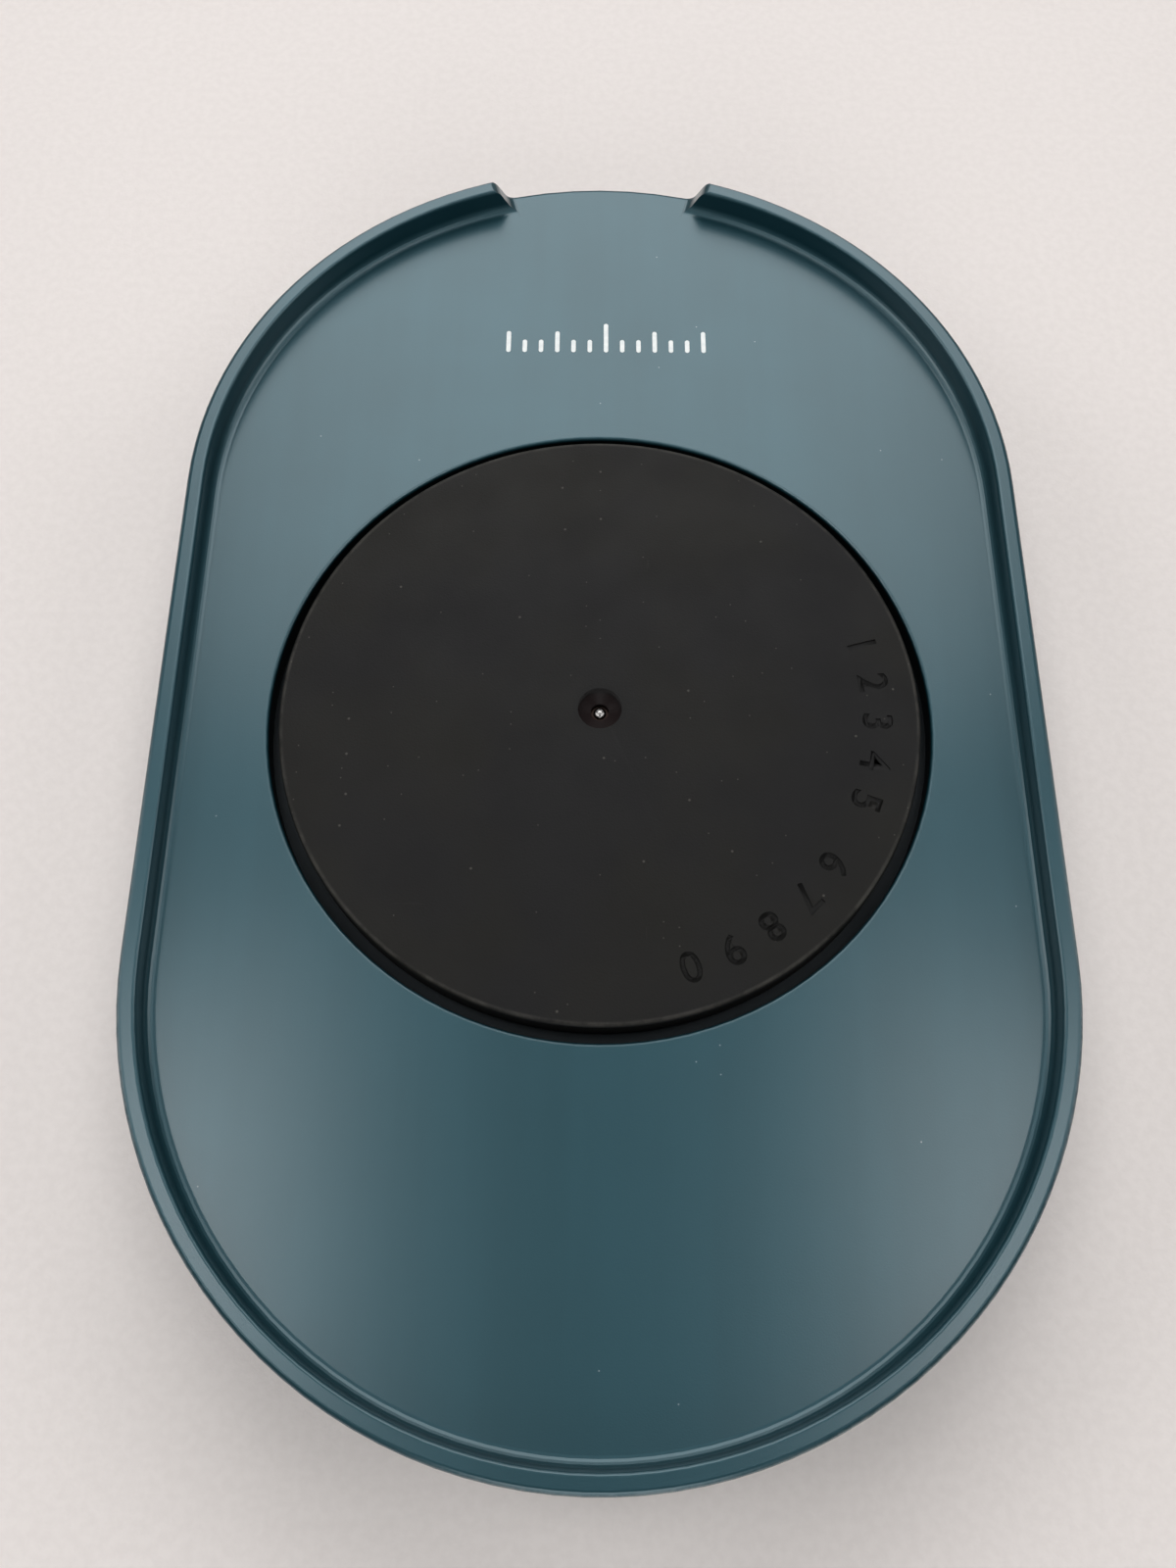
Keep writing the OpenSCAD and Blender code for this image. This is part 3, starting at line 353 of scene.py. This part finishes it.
def piece(name, mesh, finish, body="housing"):
    """Links a mesh as a new piece with that finish and slot, riding on that body."""
    mesh.name = name
    mesh.materials.clear()
    mesh.materials.append(finish.material)
    made = bpy.data.objects.new(name, mesh)
    bpy.context.scene.collection.objects.link(made)
    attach(made, body)
    return made


def track(points, width):
    """The outline of a copper track: its middle line moved half its width to each side.

    At a bend the shift is the mean of the two runs' normals, lengthened to keep the width.
    """
    points = np.asarray(points, float)
    runs = np.diff(points, axis=0)
    runs /= np.linalg.norm(runs, axis=1, keepdims=True)
    normals = np.c_[-runs[:, 1], runs[:, 0]]
    shift = np.vstack([normals[:1], normals[:-1] + normals[1:], normals[-1:]])
    shift /= np.linalg.norm(shift, axis=1, keepdims=True)
    own = np.vstack([normals[:1], normals])
    shift *= width / 2 / (shift * own).sum(axis=1, keepdims=True)
    return np.vstack([points - shift, (points + shift)[::-1]])


def disc_outline(centre, r, sides=20):
    """Points evenly round a circle."""
    turn = np.arange(sides) * 2 * math.pi / sides
    return np.c_[np.cos(turn), np.sin(turn)] * r + np.asarray(centre)


board_top_z = 6.4 * MM
chip_at = np.array([10.0, 60.0])
chip_pitch = 1.2
routes = []
for row in range(8):
    y = chip_at[1] + (row - 3.5) * chip_pitch
    out_x = 16.0 + 0.55 * row
    routes.append([(13.2, y), (out_x - 1, y), (out_x, y - 1), (out_x, 55.0 - 0.2 * row)])
    left_x = 4.5 - 0.6 * row
    routes.append([(6.8, y), (left_x, y), (left_x - 1, y + (1 if row > 3 else -1))])
routes += [
    [(25.2, 55.5), (31.0, 49.7), (31.0, 44.0), (33.0, 42.0)],
    [(38.0, 42.0), (38.0, 25.6)],
    [(36.0, 25.6), (36.0, 34.0), (32.0, 38.0)],
    [(40.2, 27.6), (40.2, 36.5), (37.2, 39.5)],
]
track_w = 0.3 * MM
pad_r = 0.75 * MM
rooted_z = board_top_z - 0.02 * MM
board_tracks = joined([
    plate(track(np.array(route) * MM, track_w), rooted_z, board_top_z + 0.03 * MM)
    for route in routes
])
track_mask = Finish("track_mask", coat_weight=0.5, coat_roughness=0.12, roughness=0.25)
copper = track_mask.place.noise(500, 3).ease(0.3, 0.7)
track_mask.feed(base_color=copper.tint((0.03, 0.19, 0.075), (0.04, 0.23, 0.09)))
piece("board_tracks", board_tracks, track_mask)

tin = Finish("tin", metallic=1.0)
dull = tin.place.noise(1500, 3).ease(0.3, 0.7)
tin.feed(base_color=dull.tint((0.66, 0.67, 0.68), (0.54, 0.55, 0.56)), roughness=dull * 0.2 + 0.22)
tin.bump(dull, 0.01 * MM)
pads = [
    plate(disc_outline(np.array(at) * MM, pad_r), rooted_z, board_top_z + 0.05 * MM)
    for at in [(30.0, 52.6), (27.6, 52.6), (-8.0, 66.0), (-8.0, 63.5), (-8.0, 61.0), (22.0, 64.0)]
]
piece("board_pads", joined(pads), tin)


# ---- Control chip and capacitor ----
# The chip is moulded in black epoxy with tinned legs. The capacitor is an aluminium can on
# a black foot, with a black mark on its top.
chip_epoxy = Finish("chip_epoxy", specular_ior_level=0.4)
x, y, z = chip_epoxy.place.split()
leg = (x - chip_at[0] * MM).maths("ABSOLUTE").ease(2.0 * MM, 2.02 * MM)
body_color = chip_epoxy.place.noise(900, 3).tint((0.02, 0.02, 0.021), (0.035, 0.035, 0.036))
chip_epoxy.feed(
    base_color=leg.tint(body_color, (0.64, 0.65, 0.66)),
    metallic=leg,
    roughness=chip_epoxy.place.noise(2600, 2).ease(0.3, 0.7) * 0.12 + 0.42,
)
chip_epoxy.bump(chip_epoxy.place.noise(3600, 2), 0.015 * MM).on("control_chip")

drawn_can = Finish("drawn_can")
x, y, z = drawn_can.place.split()
can_x = 34.0 * MM
foot_top_z = board_top_z + 0.9 * MM
can_top_z = board_top_z + 5.38 * MM
foot = z.ease(foot_top_z, foot_top_z - 0.02 * MM)
mark = z.ease(can_top_z, can_top_z + 0.01 * MM) * (x - can_x).ease(1.3 * MM, 1.35 * MM)
dark = foot.maths("MAXIMUM", mark)
streak = drawn_can.place.stretched((1200, 1200, 90)).noise(1.0, 3).ease(0.3, 0.7)
drawn_can.feed(
    base_color=dark.tint(streak.tint((0.72, 0.73, 0.74), (0.80, 0.81, 0.82)), (0.02, 0.02, 0.021)),
    metallic=1 - dark,
    roughness=streak * 0.1 + 0.24,
)
drawn_can.bump(streak, 0.003 * MM).on("capacitor")


# ---- Power socket and switch ----
# The socket's black tongue carries twelve gold-plated contacts on each face, inside the
# drawn shell. The switch's slider ends in a black grooved cap.
black_plastic = Finish("black_plastic", specular_ior_level=0.45)
grain = black_plastic.place.noise(400, 3).ease(0.35, 0.65)
black_plastic.feed(
    base_color=grain.tint((0.022, 0.022, 0.024), (0.032, 0.032, 0.033)),
    roughness=grain * 0.12 + 0.4,
)
black_plastic.bump(black_plastic.place.noise(3200, 2), 0.01 * MM)
black_plastic.on("socket_tongue", "switch_slider")

gold = Finish("gold", metallic=1.0)
wipe = gold.place.stretched((900, 90, 900)).noise(1.0, 3).ease(0.3, 0.7)
gold.feed(
    base_color=wipe.tint((0.86, 0.62, 0.26), (0.74, 0.52, 0.2)),
    roughness=wipe * 0.12 + 0.18,
)
gold.bump(wipe, 0.002 * MM)
socket_z = 8.03 * MM
tongue_half_t = 0.35 * MM
contact_pitch = 0.5 * MM
contact_half_w = 0.13 * MM
contact_y = (70.4 * MM, 74.3 * MM)
contacts = []
for column in range(12):
    x0 = (column - 5.5) * contact_pitch
    strip = [(x0 - contact_half_w, contact_y[0]), (x0 + contact_half_w, contact_y[0]),
             (x0 + contact_half_w, contact_y[1]), (x0 - contact_half_w, contact_y[1])]
    for low in (socket_z + tongue_half_t - 0.03 * MM, socket_z - tongue_half_t - 0.03 * MM):
        contacts.append(plate(strip, low, low + 0.06 * MM))
piece("socket_contacts", joined(contacts), gold)


# ---- Motor leads ----
# Two thin stranded wires in soft sleeves, from the motor's terminals round one bend to the
# header on the board.
lead_r = 0.55 * MM
lead_z = 8.2 * MM
lead_end_y = 18.6 * MM


def lead_tube(start, bend_centre, bend_r):
    """A tube of round section along a level path, as a grid of path points by sides.

    The path runs along +X, turns left through a quarter circle about bend_centre, and runs
    on along +Y. Each section is a circle square to the path.
    """
    turn = np.linspace(-math.pi / 2, 0, 25)
    bend = np.c_[np.cos(turn), np.sin(turn)] * bend_r + np.asarray(bend_centre)
    end = np.array([bend[-1, 0], lead_end_y])
    first_run = np.linspace(0, 1, 12)[:-1, None]
    last_run = np.linspace(0, 1, 40)[:, None]
    path = np.vstack([
        start + (bend[0] - start) * first_run, bend[:-1],
        bend[-1] + (end - bend[-1]) * last_run,
    ])
    ahead = np.gradient(path, axis=0)
    ahead /= np.linalg.norm(ahead, axis=1, keepdims=True)
    left = np.c_[-ahead[:, 1], ahead[:, 0]]
    sides = 20
    around = np.arange(sides) * 2 * math.pi / sides
    flat = path[:, None] + left[:, None] * (lead_r * np.cos(around))[None, :, None]
    up = np.broadcast_to(lead_z + lead_r * np.sin(around), flat.shape[:2])
    points = np.concatenate([flat, up[..., None]], axis=2).reshape(-1, 3)
    k, side = np.meshgrid(np.arange(len(path) - 1), np.arange(sides), indexing="ij")
    a, b = k * sides + side, k * sides + (side + 1) % sides
    walls = np.stack([a, a + sides, b + sides, b], axis=-1).reshape(-1, 4)
    last = (len(path) - 1) * sides
    caps = [list(range(sides)), list(range(last + sides - 1, last - 1, -1))]
    mesh = bpy.data.meshes.new("lead")
    mesh.from_pydata(points.tolist(), [], walls.tolist() + caps)
    mesh.shade_smooth()
    mesh.set_sharp_from_angle(angle=math.radians(40))
    return mesh


motor_at = np.array([12.9889, -32.4611]) * MM
terminal_x = 25.689 * MM
bend_x = 33.0 * MM
for node, row, dark_color, light_color in (
    ("red_lead", 0, (0.42, 0.02, 0.015), (0.55, 0.035, 0.025)),
    ("black_lead", 1, (0.016, 0.016, 0.017), (0.028, 0.028, 0.03)),
):
    sleeve = Finish(node + "_sleeve", specular_ior_level=0.45)
    handled = sleeve.place.noise(500, 3).ease(0.3, 0.7)
    sleeve.feed(base_color=handled.tint(dark_color, light_color), roughness=handled * 0.1 + 0.38)
    sleeve.bump(sleeve.place.noise(2500, 2), 0.01 * MM)
    start = motor_at * [0, 1] + np.array([terminal_x, (1 - 2 * row) * MM])
    bend_r = (3 + 2 * row) * MM
    tube = lead_tube(start, (bend_x, start[1] + bend_r), bend_r)
    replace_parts(piece(node + "_wire", tube, sleeve), node)


# ---- Covers ----
# The top and bottom covers are injection moulded in one blue-green plastic with a satin,
# slightly metallic finish. The rim's edge is rubbed pale in places and painted with a
# highlight; faint streaks on the deck are a painted reflection; the well is painted shade.
half_w = 47.5 * MM
end_y = 28.0 * MM
rim_z = 23.05 * MM
deck_z = 19.8 * MM
well_r = 36.0 * MM
well_z = 17.2 * MM

cover = Finish("cover_plastic", coat_roughness=0.25)
x, y, z = cover.place.split()
past_end = (y.maths("ABSOLUTE") - end_y).maths("MAXIMUM", 0)
from_axis = (x * x + past_end * past_end) ** 0.5
from_middle = (x * x + y * y) ** 0.5
cloud = cover.place.noise(45, 3).ease(0.25, 0.75)
# Painted reflection: faint streaks running front to back across the deck.
painted_streaks = cover.place.stretched((160, 9, 9)).noise(1.0, 3).ease(0.3, 0.7)
plastic = (cloud * 0.5 + painted_streaks * 0.5).tint((0.006, 0.0515, 0.0695), (0.009, 0.0610, 0.0820))
# The rim's outer top edge is paled in patches: edge wear and a painted highlight along it.
rubbed_and_highlight = from_axis.ease(half_w - 0.5 * MM, half_w - 0.1 * MM)
rubbed_and_highlight *= z.band(rim_z - 0.2 * MM, 0.25 * MM, 0.2 * MM)
rubbed_and_highlight *= cover.place.noise(700, 4, 0.7).ease(0.35, 0.6) * cover.place.noise(30, 2).ease(0.4, 0.6)
nicks = cover.place.specks(110, 0.22 * MM, 0.012)
lint = cover.place.specks(420, 0.09 * MM, 0.012, "2D") * z.band(deck_z, 0.05 * MM, 0.05 * MM)
pale = (rubbed_and_highlight * 0.16 + nicks * 0.6 + lint * 0.35).maths("MINIMUM", 1)
# Painted shade: the well's wall and floor are made near black and lose their coat.
painted_well_shade = from_middle.ease(well_r + 0.4 * MM, well_r + 0.3 * MM)
painted_well_shade *= z.ease(deck_z - 0.1 * MM, deck_z - 0.5 * MM)
painted_well_shade *= z.ease(well_z - 0.6 * MM, well_z - 0.3 * MM)
cover.feed(
    base_color=painted_well_shade.tint(pale.tint(plastic, (0.50, 0.56, 0.56)), (0.003, 0.006, 0.008)),
    metallic=(1 - pale) * 0.65,
    roughness=cover.place.noise(60, 4).ease(0.2, 0.8) * 0.06 + 0.40,
    coat_weight=1 - painted_well_shade,
)
cover.bump(cover.place.noise(5200, 2), 0.012 * MM).on("top_cover", "bottom_cover")


# ---- Centring scale ----
# White pad-printed ink on the rear of the deck: a short row of strokes that marks the
# middle of the tray, with the longest stroke on the middle line.
def bar_outline(width, length, steps=10):
    """The outline of a bar with round ends: a half circle at each end of its length."""
    turn = np.linspace(0, math.pi, steps)
    cap = np.c_[np.cos(turn), np.sin(turn)] * width / 2
    cap[:, 1] += length / 2 - width / 2
    return np.vstack([cap, -cap])


scale_at = np.array([0.7, 51.1])
long_h, middle_h, short_h = 4.4, 3.2, 1.9
stroke_w = 0.55
stroke_gap = 2.0
strokes = []
for step in range(-6, 7):
    tall = {0: long_h, 3: middle_h, 6: middle_h}.get(abs(step), short_h)
    at = scale_at + np.array([step * stroke_gap, (tall - long_h) / 2])
    outline = (bar_outline(stroke_w, tall) + at) * MM
    strokes.append(plate(outline, deck_z - 0.02 * MM, deck_z + 0.02 * MM))
ink = Finish("white_ink", coat_weight=0.2, coat_roughness=0.3, roughness=0.45)
worn = ink.place.noise(1500, 3).ease(0.3, 0.7)
ink.feed(base_color=worn.tint((0.72, 0.76, 0.76), (0.82, 0.85, 0.84)))
ink.bump(ink.place.noise(5200, 2), 0.01 * MM)
piece("centring_scale", joined(strokes), ink)


# ---- Turntable ----
# A matt black moulded disc with plain numbers pressed into it near its edge. It has dust,
# faint scratches, and an edge that handling has rubbed grey.
disc_r = 34.7 * MM
disc_top_z = 21.0 * MM
number_r = 30.0 * MM
number_h = 3.3 * MM
number_depth = 0.16 * MM
number_bold = 0.012


def settled(made):
    """Applies the piece's modifiers to its mesh."""
    view = bpy.context.evaluated_depsgraph_get()
    mesh = bpy.data.meshes.new_from_object(made.evaluated_get(view))
    made.modifiers.clear()
    made.data = mesh


def carved(mesh, cutter_mesh):
    """The mesh without the cutter's volume, shaded smooth with its edges kept crisp.

    The cutter may cross itself, as bold numerals do where their strokes meet.
    """
    made = bpy.data.objects.new("carved", mesh)
    cutter = bpy.data.objects.new("cutter", cutter_mesh)
    for part in (made, cutter):
        bpy.context.scene.collection.objects.link(part)
    cut = made.modifiers.new("cut", "BOOLEAN")
    cut.operation, cut.solver, cut.object = "DIFFERENCE", "EXACT", cutter
    cut.use_self = True
    settled(made)
    bpy.data.objects.remove(cutter)
    made.data.shade_smooth()
    made.data.set_sharp_from_angle(angle=math.radians(28))
    even = made.modifiers.new("even", "WEIGHTED_NORMAL")
    even.keep_sharp = True
    settled(made)
    mesh = made.data
    bpy.data.objects.remove(made)
    return mesh


def merged(mesh, distance):
    """The mesh with points closer than that distance made one."""
    shell = bmesh.new()
    shell.from_mesh(mesh)
    bmesh.ops.remove_doubles(shell, verts=shell.verts, dist=distance)
    shell.to_mesh(mesh)
    shell.free()
    return mesh


def numeral(text, angle):
    """A plain numeral as a cutter: centred, scaled to its height, turned head outwards."""
    curve = bpy.data.curves.new("numeral", "FONT")
    curve.body, curve.extrude, curve.offset = text, 1.0, number_bold
    drawn_text = bpy.data.objects.new("numeral", curve)
    bpy.context.scene.collection.objects.link(drawn_text)
    mesh = merged(bpy.data.meshes.new_from_object(drawn_text), 0.0001)
    bpy.data.objects.remove(drawn_text)
    at = np.zeros(len(mesh.vertices) * 3)
    mesh.vertices.foreach_get("co", at)
    at = at.reshape(-1, 3)
    low, high = at.min(axis=0), at.max(axis=0)
    flat = (at[:, :2] - (low + high)[:2] / 2) * number_h / (high - low)[1]
    out = np.array([math.cos(angle), math.sin(angle)])
    clockwise = np.array([math.sin(angle), -math.cos(angle)])
    flat = flat[:, :1] * clockwise + flat[:, 1:] * out + number_r * out
    at = np.c_[flat, disc_top_z + at[:, 2] * number_depth]
    mesh.vertices.foreach_set("co", at.ravel())
    return mesh


first_angle = 15.3
angle_step = 9.0
group_gap = 6.5
numbers = [
    numeral(str((n + 1) % 10), math.radians(first_angle - angle_step * n - group_gap * (n > 4)))
    for n in range(10)
]
disc_mesh = merged(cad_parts["turntable"].data.copy(), 0.0005 * MM)
disc_plastic = Finish("disc_plastic", specular_ior_level=0.2)
x, y, z = disc_plastic.place.split()
out = (x * x + y * y) ** 0.5
patch = disc_plastic.place.noise(55, 3).ease(0.35, 0.65)
moulded = patch.tint((0.0036, 0.0035, 0.0038), (0.0052, 0.0048, 0.0034))
along = disc_plastic.place.stretched((90, 1500, 300), (0, 0, 0.6)).noise(1.0, 3, 0.6)
across = disc_plastic.place.stretched((1500, 120, 300), (0, 0, 0.2)).noise(1.0, 3, 0.6)
scuffs = along.ease(0.70, 0.78) + across.ease(0.71, 0.79)
scuffs *= disc_plastic.place.noise(70, 2).ease(0.5, 0.7)
edge = out.band(disc_r - 0.3 * MM, 0.08 * MM, 0.25 * MM)
edge *= disc_plastic.place.noise(260, 4, 0.7).ease(0.3, 0.65)
dust = disc_plastic.place.specks(220, 0.16 * MM, 0.12, "2D")
dust += disc_plastic.place.specks(620, 0.09 * MM, 0.06, "2D")
dust *= z.ease(disc_top_z - 0.1 * MM, disc_top_z - 0.03 * MM)
pale = (scuffs * 0.25 + edge * 0.4 + dust * 0.8).maths("MINIMUM", 1)
# Painted shade: below the top face the pressed numbers are darkened, and so is a ring at the
# centre recess's mouth.
sunk = z.ease(disc_top_z - 0.04 * MM, disc_top_z - 0.12 * MM)
greasy = sunk * out.ease(2.5 * MM, 2.3 * MM)
ring = out.band(2.65 * MM, 0.15 * MM, 0.2 * MM)
dark = (ring * 0.5 + (sunk - greasy) * 0.6).maths("MINIMUM", 1)
used = greasy.tint(pale.tint(moulded, (0.07, 0.066, 0.058)), (0.0105, 0.0062, 0.0062))
disc_plastic.feed(
    base_color=dark.tint(used, (0.002, 0.002, 0.002)),
    roughness=disc_plastic.place.noise(140, 4).ease(0.2, 0.8) * 0.1 + 0.47,
)
disc_plastic.bump(disc_plastic.place.noise(4200, 3), 0.02 * MM)
disc = piece("numbered_turntable", carved(disc_mesh, joined(numbers)), disc_plastic,
             "turntable_body")
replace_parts(disc, "turntable")


# ---- Screws ----
# Pan-head thread-forming screws of plated steel with a cross recess, driven into the
# moulded bosses.
screw_steel = Finish("screw_steel", metallic=1.0)
tumbled = screw_steel.place.noise(1600, 4).ease(0.3, 0.7)
screw_steel.feed(
    base_color=tumbled.tint((0.60, 0.60, 0.60), (0.50, 0.50, 0.49)),
    roughness=tumbled * 0.14 + 0.26,
)
screw_steel.bump(tumbled, 0.004 * MM)


def set_in_place(points, centre, seat_z, points_up):
    """Moves a screw's points to its place; one that points up is turned about X first."""
    turned = points * (np.array([1, -1, -1]) if points_up else 1)
    return turned + np.array([*centre, seat_z])


def threaded(centre, seat_z, points_up, head_r, head_h, shank_r, length):
    """A pan-head screw as a grid of stations by sides, closed by a point at each end.

    The head's edge is a quarter round. Down the shank the radius rises from the root to the
    crest and back once in every pitch, later by one pitch for each turn round the axis, and
    shrinks to a quarter at the tip.
    """
    sides = 36
    pitch = shank_r * 0.85
    crown = head_h * 0.35
    bend = np.linspace(0, math.pi / 2, 7)
    head = np.c_[head_r - crown + crown * np.sin(bend), head_h - crown + crown * np.cos(bend)]
    down = np.arange(0, length, pitch / 7)
    stations_r = np.r_[head[:, 0], head_r, np.full(len(down), shank_r), shank_r / 4]
    stations_z = np.r_[head[:, 1], 0, -down, -length]
    on_shank = np.arange(len(stations_r)) > len(head)
    turn = np.arange(sides) * 2 * math.pi / sides
    phase = (-stations_z[:, None] / pitch - turn[None] / (2 * math.pi)) % 1
    ridge = np.clip(1 - np.abs(phase - 0.5) / 0.3, 0, 1)
    taper = np.clip((length + stations_z) / shank_r * 0.75 + 0.25, 0, 1)
    thread = np.where(on_shank[:, None], (0.76 + 0.24 * ridge) * taper[:, None], 1)
    r = stations_r[:, None] * thread
    heights = np.broadcast_to(stations_z[:, None], r.shape)
    grid = np.stack([r * np.cos(turn), r * np.sin(turn), heights], axis=-1)
    points = np.vstack([[[0, 0, head_h]], grid.reshape(-1, 3), [[0, 0, -length]]])
    k, side = np.meshgrid(np.arange(len(stations_r) - 1), np.arange(sides), indexing="ij")
    a, b = 1 + k * sides + side, 1 + k * sides + (side + 1) % sides
    walls = np.stack([a, a + sides, b + sides, b], axis=-1).reshape(-1, 4).tolist()
    ring_now = np.arange(sides)
    ring_next = (ring_now + 1) % sides
    top = np.c_[np.zeros(sides, int), 1 + ring_now, 1 + ring_next].tolist()
    last = 1 + (len(stations_r) - 1) * sides
    tip = np.c_[np.full(sides, len(points) - 1), last + ring_next, last + ring_now].tolist()
    mesh = bpy.data.meshes.new("screw")
    placed = set_in_place(points, centre, seat_z, points_up)
    mesh.from_pydata(placed.tolist(), [], walls + top + tip)
    return mesh


def cross_recess(centre, seat_z, points_up, head_r, head_h):
    """The recess as a cutter: a plus outline of 12 points that narrows as it goes down."""
    arm, bar = head_r * 0.62, head_r * 0.15
    plus = np.array([[arm, -bar], [arm, bar], [bar, bar], [bar, arm], [-bar, arm], [-bar, bar]])
    plus = np.vstack([plus, -plus])
    n = len(plus)
    floor = np.c_[plus * 0.45, np.full(n, head_h * 0.25)]
    mouth = np.c_[plus, np.full(n, head_h * 1.3)]
    points = np.vstack([floor, mouth])
    i = np.arange(n)
    j = (i + 1) % n
    walls = np.c_[i, j, j + n, i + n].tolist()
    mesh = bpy.data.meshes.new("recess")
    placed = set_in_place(points, centre, seat_z, points_up)
    mesh.from_pydata(placed.tolist(), [], walls + [i[::-1].tolist(), (i + n).tolist()])
    return mesh


case_at = [(-30, -52), (-30, 52), (30, -52), (30, 52)]
frame_at = [(18, 8), (-18, 8), (-21, -33), (25.5, -41.5)]
motor_screw_at = [(9.754, -44.535), (16.224, -20.387)]
board_at = [(-14, 60), (18, 58), (27, 30)]
for node, places, seat_z, points_up, head_r, head_h, shank_r, length in (
    ("case_screws", case_at, 5.0, True, 2.47, 1.69, 1.3, 9.0),
    ("frame_screws", frame_at, 5.3, True, 1.9, 1.3, 1.0, 7.0),
    ("motor_screws", motor_screw_at, 12.3, False, 1.9, 1.3, 1.0, 5.0),
    ("board_screws", board_at, 6.4, False, 1.9, 1.3, 1.0, 4.0),
):
    sizes = [size * MM for size in (head_r, head_h, shank_r, length)]
    spots = [np.array(at) * MM for at in places]
    blanks = joined([threaded(at, seat_z * MM, points_up, *sizes) for at in spots])
    cuts = joined([cross_recess(at, seat_z * MM, points_up, *sizes[:2]) for at in spots])
    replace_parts(piece("cross_" + node, carved(blanks, cuts), screw_steel), node)


bpy.context.view_layer.update()
